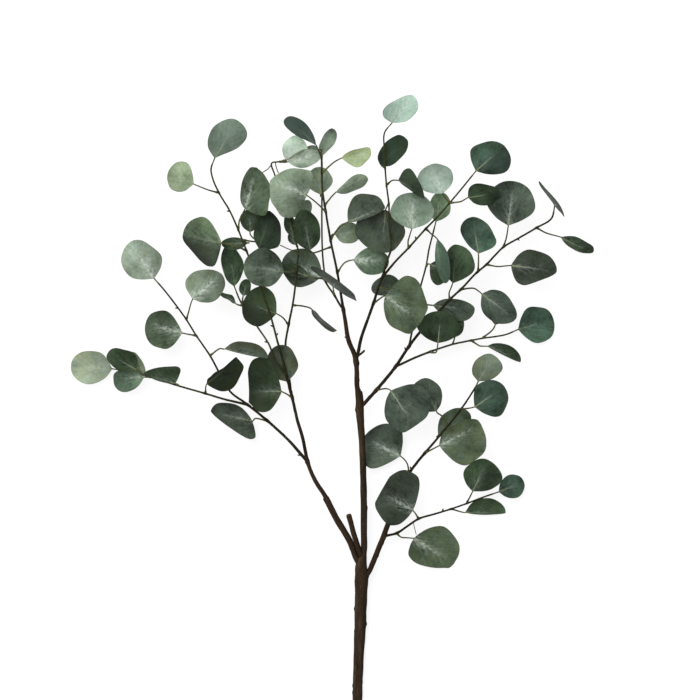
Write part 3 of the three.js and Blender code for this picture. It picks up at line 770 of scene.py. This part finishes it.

# %% [markdown]
# No two leaves are lit or dusted alike. Chance alone could vary them, but then no leaf would
# be the one in the photograph. So this list says of nearly every leaf how light and warm it
# is for its tone, which half is painted paler as painted light and shade, how much bloom lies
# on it, how plain its midrib is and how deep the notch at its tip. A stem's name stands for
# the leaf at its end.

# %% Leaves with a solid
LEAF_LOOKS = {
    "main_stem": dict(dust=0.1, rib=0.2, lit=0.95, warm=-0.7),
    "main_stem_leaf_1": dict(dust=0.1, rib=0.3, lit=1.2, warm=0.6, pale=-0.2),
    "main_stem_leaf_2": dict(dust=0.1, rib=0.5, lit=0.75, pale=0.5),
    # Its base is painted darker, as painted shadow of the leaves that lie over it.
    "main_stem_leaf_3": dict(dust=1.3, rib=0.9, pale=-0.2, lit=1.14, fade=-0.35,
        lobes=[("left", 22, 17), ("left", 98, 5), ("left", 135, 5)]),
    "main_stem_leaf_4": dict(dust=0.4, rib=1.0, pale=0.2, lit=0.92),
    "main_stem_leaf_5": dict(dust=1.4, rib=0.3, lit=1.2, warm=-0.2, fade=0.4, pale=0.2),
    "left_branch": dict(dust=0.05, rib=0.9, lit=0.76, warm=-0.2, pale=0.3, fade=-0.15),
    "left_branch_leaf_1": dict(dust=0.1, rib=0.7, lit=0.78, warm=0.0, pale=-0.35, fade=0.2),
    "left_branch_leaf_2": dict(dust=1.0, rib=0.2, lit=0.82, pale=-0.3, lobes=[("right", 130, 3)]),
    "left_branch_leaf_3": dict(dust=0.2, rib=0.5, pale=-1.5, lit=0.85, warm=0.3, fade=0.5),
    "left_branch_leaf_4": dict(dust=0.05, rib=0.2, lit=0.74, warm=-0.2, pale=0.2, fade=0.65),
    "left_branch_leaf_5": dict(dust=0.35, rib=0.7, notch=0.1, lit=0.62, warm=0.8, pale=0.1, fade=0.5,
        lobes=[("left", 140, -5)]),
    "left_branch_leaf_6": dict(dust=0.1, rib=0.5, lit=0.95, warm=1.0, pale=-0.5, fade=0.4),
    "left_low_branch": dict(dust=1.7, rib=0.2, lit=0.86, warm=0.2, pale=0.4, fade=-0.25),
    "left_low_branch_leaf_1": dict(dust=1.8, rib=0.3, pale=0.6, lit=0.86, warm=0.25, fade=0.4),
    "left_low_branch_leaf_2": dict(dust=1.1, rib=0.6, pale=0.2, lit=0.8, warm=0.1, fade=0.25),
    "left_low_branch_leaf_3": dict(dust=0.3, rib=0.5, lit=0.72, fade=0.15),
    "left_outer_twig": dict(dust=0.4, rib=0.7, lit=0.82, warm=0.55, pale=0.2, fade=-0.25),
    "left_outer_twig_leaf_1": dict(dust=0.1, rib=0.7, lit=1.05, warm=0.3, pale=0.2),
    "left_outer_twig_leaf_2": dict(dust=0.6, rib=0.3, pale=0.0, lit=1.2, warm=-0.3, fade=0.35),
    "left_outer_twig_leaf_3": dict(dust=0.0, rib=0.3, lit=0.38, warm=1.0, fade=-0.15,
        lobes=[("left", 40, 4), ("left", 75, 3.5)]),
    "left_inner_twig": dict(dust=3.0, rib=0.1, lit=1.55, warm=0.0, pale=0.0, fade=-0.3),
    "left_inner_twig_leaf_1": dict(dust=0.1, rib=0.4, pale=-1.0, lit=0.8, warm=0.9, fade=0.55),
    "left_inner_twig_leaf_2": dict(dust=0.4, rib=0.4, lit=1.2, warm=0.1, pale=0.5, fade=-0.2),
    "left_back_twig": dict(dust=0.2, rib=0.2, pale=-0.4, lit=1.6, warm=0.0, fade=0.4),
    "centre_back_twig": dict(dust=0.3, rib=0.5, warm=0.0, pale=-0.2, fade=0.4),
    "centre_back_twig_leaf_1": dict(dust=1.1, rib=0.2, pale=-0.5, lit=1.15),
    "tall_branch": dict(dust=0.9, rib=0.6, lit=1.35, warm=-0.35, pale=-0.25, fade=-0.15),
    "tall_branch_leaf_1": dict(dust=0.1, rib=0.5, pale=0.0, lit=0.84, warm=0.4, fade=-0.4),
    "tall_branch_leaf_2": dict(dust=0.0, rib=0.1, lit=0.78, warm=-0.4),
    "tall_branch_leaf_3": dict(dust=0.05, rib=0.3, lit=0.74),
    "tall_branch_leaf_4": dict(dust=0.9, rib=1.0, lit=0.8, warm=0.4, pale=0.1),
    "upper_right_twig": dict(dust=0.15, rib=1.0, pale=0.9, lit=0.75),
    "upper_right_twig_leaf_1": dict(dust=1.7, rib=1.0, lit=1.1, warm=-0.1, fade=0.25),
    "upper_right_twig_leaf_2": dict(dust=1.7, rib=0.3, lit=0.98, warm=-0.2, pale=0.2, fade=0.35),
    "upper_right_twig_leaf_3": dict(dust=0.05, rib=0.9, warm=0.0, pale=0.4, fade=0.15),
    "upper_right_twig_leaf_4": dict(dust=0.1, rib=0.3, lit=0.95, warm=-0.6, pale=-0.3, fade=0.2),
    "right_branch_leaf_1": dict(dust=0.35, rib=1.1, notch=0.05, warm=-0.1),
    "right_branch_leaf_2": dict(dust=0.05, rib=0.3, lit=0.95, warm=0.1, pale=-0.7, fade=-0.25),
    "right_branch_leaf_3": dict(dust=0.25, rib=1.0, warm=-0.1),
    "right_branch_leaf_4": dict(dust=0.15, rib=1.0, pale=-0.5, fade=0.4),
    "right_branch_leaf_5": dict(dust=0.3, rib=1.1, lit=0.64, warm=0.3),
    "right_branch_leaf_6": dict(dust=0.5, rib=1.0, warm=0.0, pale=-0.4, fade=-0.2),
    "right_inner_twig": dict(dust=0.3, rib=0.8, lit=1.8, warm=0.3, fade=0.2),
    "right_low_twig": dict(dust=0.15, rib=0.5, pale=-0.5, lit=1.15),
    "right_low_twig_leaf_1": dict(dust=0.1, rib=1.0, lit=0.75, warm=0.3, fade=-0.15),
    "right_low_twig_leaf_2": dict(dust=0.2, rib=0.4, lit=0.82, fade=-0.25),
    "low_branch": dict(dust=0.2, rib=0.6, lit=0.63, warm=0.5, fade=-0.2),
    "low_branch_leaf_1": dict(dust=1.0, rib=0.6, pale=0.5, lit=1.05, fade=0.3),
    "low_branch_leaf_2": dict(dust=0.8, rib=0.3, pale=-0.2, lit=0.75, warm=0.6),
    "low_branch_leaf_3": dict(dust=0.1, rib=1.1, lit=0.9, fade=0.1),
    "low_twig": dict(dust=0.2, rib=0.7, lit=0.95),
    "low_twig_leaf_1": dict(dust=0.8, rib=0.8, lit=0.76, warm=0.6, pale=0.15, fade=-0.25,
        lobes=[("right", 145, -3)]),
    "low_twig_leaf_2": dict(dust=0.8, rib=0.3, notch=0.09, lit=0.62, warm=0.2, fade=0.1),
    "low_twig_leaf_3": dict(dust=0.2, rib=0.4, lit=1.25, warm=0.5, fade=-0.25),
    "centre_back_twig_leaf_2": dict(fade=0.3, lit=0.82),
    "right_branch_leaf_7": dict(pale=-0.2, fade=0.2),
    "low_twig_leaf_4": dict(pale=0.5, fade=-0.5),
}
for number, node in enumerate(LEAVES):
    tone = SLOT_OF[node].removeprefix("leaf_")
    looks = LEAF_LOOKS.get(node, {})
    piece = leaf(node + "_skin", SHAPES[node], tone, np.random.default_rng(number), **looks)
    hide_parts(node)
print("leaves", len(LEAVES), "points each", len(ACROSS), "around")

# %% [markdown]
# Bark is not smooth: it has shallow ridges along the stem, small scars of old leaves, and a
# swelling where each shoot leaves. A bump in the finish alone would not show at the edge of a
# stem, so these are worked out as a share of the radius at each point.

# %% Bark relief
SCAR_STEP = 16 * MM
SCAR_LONG = 2.2 * MM
SCAR_WIDE = 0.22
RIDGES = 9
KNUCKLE_THIN, KNUCKLE_THICK = 0.34, 0.08


def ridges(at, angle, luck):
    """Shallow ridges: the mean of sines that turn round the stem and drift along it."""
    turns = luck.integers(2, 8, RIDGES)[:, None, None]
    pace = luck.uniform(-0.35, 0.35, RIDGES)[:, None, None] / MM
    start = luck.uniform(*ANY_PHASE, RIDGES)[:, None, None]
    return np.sin(turns * angle + pace * at[:, None] + start).mean(0)


def scars(at, angle, luck):
    """Small bumps: bells round random places along and around the stem, the largest at each."""
    count = max(int(at[-1] / SCAR_STEP), 1)
    home = luck.uniform(0, at[-1], count)[:, None, None]
    turn = luck.uniform(0, 2 * np.pi, count)[:, None, None]
    along = (at[:, None] - home) / SCAR_LONG
    around = np.sin((angle - turn) / 2) / SCAR_WIDE
    return np.exp(-(along**2) - around**2).max(0)


def knuckle_swell(at, centres, radii, places):
    """1 along the stem and up to a third more round each place where a shoot leaves."""
    if not places:
        return np.ones(len(at))
    apart = np.linalg.norm(centres[:, None] - np.array(places)[None], axis=-1)
    home = at[apart.argmin(0)]
    spread = (1.1 * radii + 1.0 * MM)[:, None]
    bumps = np.exp(-(((at[:, None] - home) / spread) ** 2)).max(1)
    return 1 + bumps * np.interp(radii, [1.5 * MM, 5 * MM], [KNUCKLE_THIN, KNUCKLE_THICK])


print("bark relief ready")

# %% [markdown]
# A stem is a tube along its line, and the radius follows the solid. A bevelled curve could
# give the tube, but not its relief. An end is either a point hidden inside another piece or a
# cap, flat where the wood is cut and domed where bark has grown over it. The last stretch of
# each stem belongs to the leaf at its end, whose stalk starts inside the tube.

# %% Stem surface
STEM_STEP = 1.5 * MM
LEAF_STRETCH = 12 * MM
OVERLAP = 4 * MM
CAP_SHARES = np.array([0.985, 0.93, 0.78, 0.55, 0.3, 0.1])
CUT_EDGE = 0.96
# Painted light: the direction of the upper left, from which the stems are painted lighter.
SUNNY_SIDE = np.array([-0.42, 0.34, 0.84])
SCAR_HEIGHT = 0.16
RIDGE_THIN, RIDGE_THICK = 0.10, 0.11
YOUNG_UNDER = 2.3 * MM
YOUNG_FADE = 1.1 * MM
STRETCH = 0.16


def capped(count, foot_cap, tip_cap):
    """Which ring each row repeats, its share of the radius, its cut wood and its dome."""
    rows, shares = [np.arange(count)], [np.ones(count)]
    wood, dome = [np.zeros(count)], [np.zeros(count)]
    for cap, ring, way in ((foot_cap, 0, -1), (tip_cap, count - 1, 1)):
        if cap:
            share = CAP_SHARES[::way]
            rise = way * cap[1] * np.sqrt(1 - share**2)
            more = np.full(len(share), ring), share, cap[0] * (share < CUT_EDGE), rise
            for held, part in zip((rows, shares, wood, dome), more):
                held.insert(len(held) if way > 0 else 0, part)
    return [np.concatenate(held) for held in (rows, shares, wood, dome)]


def stem(name, line, radii, places, luck, around=24, foot_cap=None, tip_cap=None, greenest=1.0):
    """A tube of bark: rings of ridged circles square to a smooth line, with caps of
    (cut wood, dome height as a share of the radius) where an end shows."""
    at, centres, thick = fine_line(line, radii, STEM_STEP)
    thick = thick * knuckle_swell(at, centres, thick, places)
    ahead = unit(np.gradient(centres, axis=0))
    sides = carried(np.cross(ahead[0], [0, 0, 1.0]), ahead)
    ups = np.cross(ahead, sides)
    rows, shares, wood, dome = capped(len(at), foot_cap, tip_cap)
    angle = np.arange(around) * 2 * np.pi / around
    bulge = np.interp(thick, [0.7 * MM, 5 * MM], [RIDGE_THIN, RIDGE_THICK])[:, None]
    rough = 1 + ridges(at, angle, luck) * bulge + scars(at, angle, luck) * SCAR_HEIGHT
    reach = (thick[rows] * shares)[:, None] * rough[rows]
    left_right, up_down = -np.cos(angle)[:, None], np.sin(angle)[:, None]
    spokes = left_right * sides[rows][:, None] + up_down * ups[rows][:, None]
    middles = centres[rows] + ahead[rows] * (thick[rows] * dome)[:, None]
    rings = middles[:, None] + spokes * reach[..., None]
    rings[..., 2] = np.maximum(rings[..., 2], FLOOR_CLEAR)
    young = np.clip((YOUNG_UNDER - thick[rows]) / YOUNG_FADE, 0, greenest)[:, None] + 0 * reach
    kind = np.stack([young, wood[:, None] + 0 * reach, reach / MM], axis=-1)
    along = at[rows][:, None] * STRETCH + 0 * reach
    place = np.stack([along, -np.cos(angle) * reach, np.sin(angle) * reach], axis=-1)
    # How far each point faces the upper left, which the bark finish turns into painted light and
    # shade.
    facing = (spokes @ SUNNY_SIDE)[..., None]
    facts = {"stem_place": place, "stem_kind": kind, "stem_facing": facing}
    return skin(name, rings, middles[0], middles[-1], BARK, facts)


def split_end(shape):
    """A stem's own stretch and the stalk of its end leaf, which starts inside the stem."""
    at, centres, radii = fine_line(shape["line"], shape["radii"], AXIS_STEP)
    own = at < at[-1] - LEAF_STRETCH + OVERLAP
    stalk = at > at[-1] - LEAF_STRETCH
    slim = np.interp(at[stalk], [at[stalk][0], at[stalk][0] + 2 * OVERLAP], [0.8, 1.0])
    return (centres[own], radii[own]), (centres[stalk], radii[stalk] * slim)


def barked(radii):
    """Radii with bark on: a thin stem gains an eighth and 0.2 mm, a thick one nothing."""
    return radii + np.interp(radii, [2.2 * MM, 4 * MM], [1, 0]) * (0.125 * radii + 0.2 * MM)


print("stem surface ready")

# %% [markdown]
# Three lower stems have a step: a short length of thicker bark stands beside the thin stem and
# ends rounded. It could be cut into the stem's own radius, but it stands to one side, so such
# a sleeve is a stem of its own along the same line, pushed aside. Seen from above, a place is
# a pixel of the photograph, so sleeves, buds and stalks are set by the pixel where they end.
# The cut stub beside the low fork is one more stem, with a low dome over its end.

# %% Stems, stub and sleeves
CUT_SPOT = SHAPES["main_stem"]["line"][0]
GREENEST = {"low_branch": 0.35, "low_twig": 0.5, "right_branch": 0.7, "left_low_branch": 0.7}
LOW_SEAM = [(362.6, 640, 9), (364.2, 615, 11.5), (365.2, 592, 12.5)]
STUB_SWELL = 1.12
SLEEVES = [
    ("left_branch", (354, 550), (325, 496), 3.9, -0.3, ()),
    ("low_branch", (368, 574), (391, 519), 3.25, -0.6, LOW_SEAM),
    ("main_stem", (360, 418), (358.2, 391), 3.7, 1.4, ()),
]
STEM_SEED, STUB_SEED, SLEEVE_SEED = 500, 600, 601


def spot(column, row, height=0.0):
    """A pixel of the photograph and a height in millimetres, as a place in the frame."""
    return np.array([
        CUT_SPOT[0] + (column - CUT_END[0]) * PIXEL,
        CUT_SPOT[1] + (CUT_END[1] - row) * PIXEL,
        height * MM,
    ])


def nearest(on, pixel):
    """The number of the point of a stem's centre line that a pixel of the picture shows."""
    return np.linalg.norm(AXES[on][:, :2] - spot(*pixel)[:2], axis=1).argmin()


def sleeve(on, foot, end, thick, aside, lead, luck):
    """Old bark from one pixel to another: the stem's line pushed aside more and more. A lead
    of places goes before the line, where the bark starts thin as a seam in another stem."""
    line = AXES[on][nearest(on, foot):nearest(on, end) + 1:5]
    ahead = unit(np.gradient(line, axis=0))
    right = unit(np.cross(ahead, [0, 0, 1.0]))
    share = np.linspace(0, 1, len(line))[:, None]
    line = np.vstack([*(spot(*place)[None] for place in lead),
                      line + right * np.minimum(2 * share, 1) * aside * MM])
    radii = np.full(len(line), thick * MM)
    radii[:len(lead)] *= np.linspace(0.3, 0.8, len(lead))
    piece = stem(on + "_sleeve", line, radii, [], luck, 32, tip_cap=(0, 0.7))


for number, (node, (parent, tone)) in enumerate(STEMS.items()):
    luck = np.random.default_rng(STEM_SEED + number)
    (line, radii), (leaf_line, leaf_radii) = split_end(SHAPES[node])
    is_main = parent is None
    tube = stem(node + "_skin", line, barked(radii), KNUCKLES[node], luck, 40 if is_main else 24,
                foot_cap=(1.0, 0.0) if is_main else None, greenest=GREENEST.get(node, 1.0))
    end_shape = dict(SHAPES[node], line=leaf_line, radii=leaf_radii)
    end_leaf = leaf(node + "_end_leaf_skin", end_shape, tone, luck, **LEAF_LOOKS.get(node, {}))
    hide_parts(node)
    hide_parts(node)

stub_shape = SHAPES["cut_stub"]
stub = stem("cut_stub_skin", stub_shape["line"], stub_shape["radii"] * STUB_SWELL, [],
            np.random.default_rng(STUB_SEED), tip_cap=(0.12, 0.55))
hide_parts("cut_stub")
for number, (on, foot, end, thick, aside, lead) in enumerate(SLEEVES):
    sleeve(on, foot, end, thick, aside, lead, np.random.default_rng(SLEEVE_SEED + number))
print("stems and stub", len(STEMS) + 1, "sleeves", len(SLEEVES))

# %% [markdown]
# Where a leaf once grew, a bud or a bare stalk is left. Buds could be small spheres, but then
# they would look stuck on. So a bud is a very short stem that leaves its own stem sideways
# and leans forward, and a bare stalk is a thin one that leads from pixel to pixel at the
# height of the stem.

# %% Buds and bare stalks
BUDS = [
    ("left_branch", (272, 326.5)), ("left_branch", (277.8, 334.8)), ("left_branch", (228.5, 212)),
    ("left_low_branch", (298.2, 456.6)), ("left_low_branch", (176.4, 308.7)),
    ("left_back_twig", (265, 343)), ("upper_right_twig", (415.3, 238.4)),
    ("right_branch", (405.5, 349.4)), ("right_branch", (518, 239)), ("low_branch", (410.4, 468.6)),
    ("low_branch", (464, 410)), ("low_twig", (442, 509)), ("main_stem", (345.6, 338)),
]
BARE_STALKS = [
    ("tall_branch", 1.3, [(358.2, 357.5), (364.3, 350.8)]),
    ("left_inner_twig", 0.6, [(298, 252), (289.3, 249.4), (280.4, 245.3)]),
    ("low_twig", 0.45, [(413.5, 522.5), (414.4, 527), (416.4, 535)]),
    ("left_inner_twig", 0.6, [(272.3, 165), (268, 169), (262, 173)]),
    ("left_inner_twig", 0.6, [(275, 163), (276.5, 168), (278.5, 173)]),
    ("tall_branch", 0.5, [(384.3, 150), (380, 153), (378.5, 159), (381, 163)]),
    ("tall_branch", 0.5, [(389, 212), (388, 217), (387, 222)]),
    ("tall_branch", 0.5, [(389, 215), (391, 220), (391, 228)]),
]
BUD_OUT = 2.0 * MM
BUD_AHEAD = 1.6 * MM
BUD_UP = 0.3 * MM
BUD_RADII = np.array([0.9, 1.15, 1.0, 0.6]) * MM
BUD_SEED, BARE_SEED = 620, 660


def bud(name, on, pixel, luck):
    """A short blunt shoot from the centre line: out past the bark, then forward to its tip."""
    at = nearest(on, pixel)
    root = AXES[on][at]
    ahead = unit(AXES[on][min(at + 3, len(AXES[on]) - 1)] - AXES[on][at - 3])
    side = unit((spot(*pixel) - root) * [1, 1, 0])
    radii = SHAPES[on]["radii"]
    bark = np.interp(at, np.linspace(0, len(AXES[on]) - 1, len(radii)), radii)
    tip = root + side * (bark + BUD_OUT) + ahead * BUD_AHEAD + [0, 0, BUD_UP]
    line = np.array([root, root + side * bark * 0.7, (root + side * bark + tip) / 2, tip])
    piece = stem(name, line, BUD_RADII, [], luck, 16, tip_cap=(0, 0.9))


def bare_stalk(name, on, thick, pixels, luck):
    """A thin shoot from a stem through pixels, at the height of the stem."""
    root = AXES[on][nearest(on, pixels[0])]
    line = np.vstack([root, *(np.append(spot(*pixel)[:2], root[2]) for pixel in pixels[1:])])
    piece = stem(name, line, np.full(len(line), thick * MM), [], luck, 16, tip_cap=(0, 0.8))


for number, (on, pixel) in enumerate(BUDS):
    bud(f"{on}_bud_{number + 1}", on, pixel, np.random.default_rng(BUD_SEED + number))
for number, (on, thick, pixels) in enumerate(BARE_STALKS):
    bare_stalk(f"{on}_bare_stalk_{number + 1}", on, thick, pixels,
               np.random.default_rng(BARE_SEED + number))
print("buds", len(BUDS), "bare stalks", len(BARE_STALKS))

# %% [markdown]
# Twenty-five leaves are small or half hidden, and the solid model leaves them out. They are
# drawn here from a few facts read off the photograph: the tone, how light the leaf is, the
# stem, the place of foot, base and tip, and the reach to either side. Copies of other leaves
# would be quicker, but would not fit the gaps that these fill. The blade follows the same
# outline as the rest.

# %% Leaves without a solid
CUP = 0.11
ARCH = 0.06
BASE_POINT = 0.7
STALK_FOOT = 0.95 * MM
STALK_NECK = 0.65 * MM
STALK_RUN_IN = 1.5 * MM
MORE_LIT = 0.95
MORE_SEED = 700


def rim_share(widest_at, full):
    """How far a rim stands off at each station, 1 at its widest: a power of a sine whose
    angle is shifted so that it peaks at that share of the length. A fuller rim has a lower
    power, and near the base the power grows, which draws the base to a point."""
    angle = np.radians(BLADE_STATIONS)
    turned = angle + (np.pi / 2 - np.arccos(1 - 2 * widest_at)) * np.sin(angle)
    near_base = (1 + np.cos(turned)) / 2
    return np.clip(np.sin(turned), 0, 1) ** (1 + BASE_POINT * near_base**2 - full)


def drawn_shape(on, foot, base, tip, left, right, left_at=0.5, right_at=0.5, right_on=0.0,
                full=0.0, roll=0.0, via=None):
    """A leaf's lines: each rim stands off by its share, and the rib arches between.

    Foot, via, base and tip are pixels, the last two with a height, and left and right are
    reaches in pixels. The rims are widest at left_at and right_at of the length, right_on
    draws the right rim along it, full rounds both, and roll turns the leaf about its midrib.
    """
    root = AXES[on][nearest(on, foot)]
    base, tip = spot(*base), spot(*tip)
    middle = [] if via is None else [np.append(spot(*via)[:2], (root[2] + base[2]) / 2)]
    ahead = unit(tip - base)
    level = unit(np.array([-ahead[1], ahead[0], 0]))
    tilt = np.radians(roll)
    side = level * np.cos(tilt) + np.cross(ahead, level) * np.sin(tilt)
    up = np.cross(ahead, side)
    along = (1 - np.cos(np.radians(BLADE_STATIONS))) / 2
    length = np.linalg.norm(tip - base)
    rib = base + np.outer(along, tip - base) + np.outer(4 * along * (1 - along), up * ARCH * length)
    grow = PIXEL / np.cos(tilt)
    to_left, to_right = rim_share(left_at, full), rim_share(right_at, full)
    lift = up * CUP * max(left, right) * grow
    neck = np.where(BLADE_STATIONS == 0, STALK_NECK, 0)
    line = np.vstack([root, *middle, base - ahead * STALK_RUN_IN, base])
    return {
        "line": line,
        "radii": np.linspace(STALK_FOOT, STALK_NECK, len(line)),
        "rib": rib,
        "left": rib + np.outer(to_left * left * grow + neck, side) + np.outer(to_left, lift),
        "right": rib - np.outer(to_right * right * grow + neck, side) + np.outer(to_right, lift)
        + np.outer(to_right * right * grow * right_on, ahead),
    }


MORE_LEAVES = [
    ("dark", {}, dict(on="left_outer_twig", foot=(178, 385.4), base=(174.8, 383.6, 20),
        tip=(143.5, 373, 24), left=3, right=17, right_at=0.25, right_on=-0.35)),
    ("yellow", dict(lit=0.6), dict(on="left_outer_twig", foot=(144.5, 375.2), base=(144.5, 374.5, 14),
        tip=(132, 352, 20), left=6, right=4)),
    ("olive", dict(lit=0.8, warm=0.7), dict(on="left_low_branch", foot=(210, 356), via=(219, 349),
        base=(224.3, 349.2, 50), tip=(268, 358.5, 58), left=12.5, right=1)),
    ("dark", {}, dict(on="left_back_twig", foot=(243, 304), base=(243, 296, 30),
        tip=(247, 279, 34), left=6, right=6)),
    ("dark", {}, dict(on="left_branch", foot=(243, 243), base=(247.5, 243, 50),
        tip=(221.5, 243.5, 46), left=7, right=6)),
    ("dark", {}, dict(on="left_back_twig", foot=(243, 305.5), base=(235.7, 303.6, 27),
        tip=(219, 293, 22), left=3, right=3, roll=55)),
    ("sage", dict(lit=0.7, dust=0.6), dict(on="main_stem", foot=(321, 156), base=(319.5, 150, 58),
        tip=(305, 151, 56), left=6, right=5)),
    ("yellow", dict(lit=0.5), dict(on="left_inner_twig", foot=(284, 161), base=(287, 160.5, 64),
        tip=(305, 150.5, 68), left=1.1, right=0.9)),
    ("silver", dict(dust=2.2), dict(on="left_inner_twig", foot=(279, 162), base=(288, 162, 61),
        tip=(321, 153, 60), left=7, right=10.5)),
    ("sage", dict(lit=1.08, warm=0.4), dict(on="main_stem", foot=(322.4, 195), base=(320.5, 194.5, 50),
        tip=(318, 167, 46), left=12, right=13)),
    ("dark", {}, dict(on="left_branch", foot=(243, 239.5), via=(256, 241), base=(250, 232, 46),
        tip=(250, 209, 44), left=10, right=12)),
    ("dark", {}, dict(on="left_inner_twig", foot=(295.5, 240), base=(294, 238, 47),
        tip=(287, 214, 49), left=6, right=6)),
    ("dark", {}, dict(on="main_stem", foot=(330.5, 247.5), base=(310, 250, 50),
        tip=(303, 210, 88), left=13, right=14)),
    ("dark", {}, dict(on="left_inner_twig", foot=(297, 246), base=(296, 245, 46),
        tip=(289, 234, 44), left=4, right=4)),
    ("dark", {}, dict(on="centre_back_twig", foot=(325, 279), base=(308, 276, 44),
        tip=(282, 268, 42.5), left=5.5, right=8)),
    ("olive", dict(lit=0.6), dict(on="left_inner_twig", foot=(293.2, 305), via=(304, 306.3),
        base=(312, 309.5, 42), tip=(335.8, 331.3, 34), left=3, right=3, full=0.6, roll=65)),
    ("sage", {}, dict(on="main_stem", foot=(330.5, 238.8), base=(334.8, 234, 46),
        tip=(361, 232, 44), left=11, right=11)),
    ("dark", {}, dict(on="right_inner_twig", foot=(426, 266.5), base=(430, 264.3, 44),
        tip=(452, 272, 44), left=8, right=17)),
    ("olive", dict(lit=0.9), dict(on="tall_branch", foot=(378.5, 287), base=(403, 293, 42),
        tip=(371.3, 287.5, 38), left=6.5, left_at=0.7, right=15.5, right_at=0.42)),
    ("olive", {}, dict(on="right_inner_twig", foot=(416, 304), base=(433, 305.3, 35),
        tip=(475, 310, 33), left=9, right=13, right_at=0.6)),
    ("dark", {}, dict(on="right_low_twig", foot=(453, 344.2), base=(455, 337.2, 30),
        tip=(461, 318, 34), left=5, right=6)),
    ("olive", {}, dict(on="low_branch", foot=(448, 425.5), via=(441.8, 415.8), base=(436.4, 411.2, 33),
        tip=(421, 379, 36), left=20, right=13.5)),
    ("green", dict(lit=0.75), dict(on="low_branch", foot=(444, 431), base=(438.5, 436, 22),
        tip=(470, 413, 20), left=14.5, right=12)),
    ("dark", {}, dict(on="right_low_twig", foot=(483, 338.2), base=(495.5, 324.5, 28),
        tip=(503, 300, 32), left=10, right=10)),
    ("sage", dict(lit=0.85), dict(on="left_inner_twig", foot=(294, 226), base=(303, 220, 45),
        tip=(308.4, 200, 44), left=7, right=6)),
]
for number, (tone, looks, facts) in enumerate(MORE_LEAVES):
    leaf(f"{facts['on']}_more_leaf_{number + 1}", drawn_shape(**facts), tone,
         np.random.default_rng(MORE_SEED + number), **{"lit": MORE_LIT, **looks})
print("more leaves", len(MORE_LEAVES))

# %% [markdown]
# The picture is taken on white under very soft light, with hardly a shadow. A white sky
# lights everything evenly, and a wide sun from the upper left gives the leaves some form.
# Area lamps could do it, but would light the near leaves more than the far ones.
# The camera looks straight down through a long lens, so that height hardly moves a leaf.

# %% Floor, light and camera
WHITE = (1.0, 1.0, 1.0, 1.0)
FLOOR = (0.3, 0.3, 0.3, 1.0)
GLOW = 0.80
SKY = 0.62
SUN = 1.5
SUN_WIDTH = np.radians(50)
SUN_TURN = (np.radians(-28), np.radians(-24), 0)
LENS = 400
SENSOR = 36
VIEW_HEIGHT = 45
FAR_CLIP = 200


def pale_floor(half=40.0):
    """A plain square floor, just under the branch."""
    mesh = bpy.data.meshes.new("floor")
    corners = [(-half, -half, 0), (half, -half, 0), (half, half, 0), (-half, half, 0)]
    mesh.from_pydata(corners, [], [(0, 1, 2, 3)])
    finish, tree = new_tree("pale_floor")
    sockets = {"Base Color": FLOOR, "Roughness": 0.95, "Specular IOR Level": 0.0,
               "Emission Color": WHITE, "Emission Strength": GLOW}
    plain = Wire(tree).make("ShaderNodeBsdfPrincipled", None, sockets)
    plain.make("ShaderNodeOutputMaterial", None, {"Surface": plain})
    mesh.materials.append(finish)
    floor = bpy.data.objects.new("floor", mesh)
    bpy.context.scene.collection.objects.link(floor)


def soft_light():
    """A white sky and a wide sun from the upper left of the picture."""
    world = bpy.data.worlds.new("studio")
    world.use_nodes = True
    sky = world.node_tree.nodes["Background"]
    sky.inputs["Color"].default_value = WHITE
    sky.inputs["Strength"].default_value = SKY
    bpy.context.scene.world = world
    lamp = bpy.data.lights.new("sun", "SUN")
    lamp.energy = SUN
    lamp.angle = SUN_WIDTH
    sun = bpy.data.objects.new("sun", lamp)
    sun.rotation_euler = SUN_TURN
    bpy.context.scene.collection.objects.link(sun)


def picture_camera():
    """A camera above the middle of the picture, as far off as fits the picture's width."""
    lens = bpy.data.cameras.new("camera")
    lens.lens = LENS
    lens.sensor_width = SENSOR
    lens.clip_end = FAR_CLIP
    camera = bpy.data.objects.new("camera", lens)
    distance = PICTURE * PIXEL * LENS / SENSOR
    middle = spot(PICTURE / 2, PICTURE / 2, VIEW_HEIGHT)
    camera.location = middle + [0, 0, distance]
    bpy.context.scene.collection.objects.link(camera)
    bpy.context.scene.camera = camera
    print("camera", np.round(camera.location, 3).tolist())


pale_floor()
soft_light()
picture_camera()
bpy.context.scene.view_settings.view_transform = "Standard"

# %% [markdown]
# Last, the view layer is updated, so that the scene is ready.

# %% Update and end
bpy.context.view_layer.update()
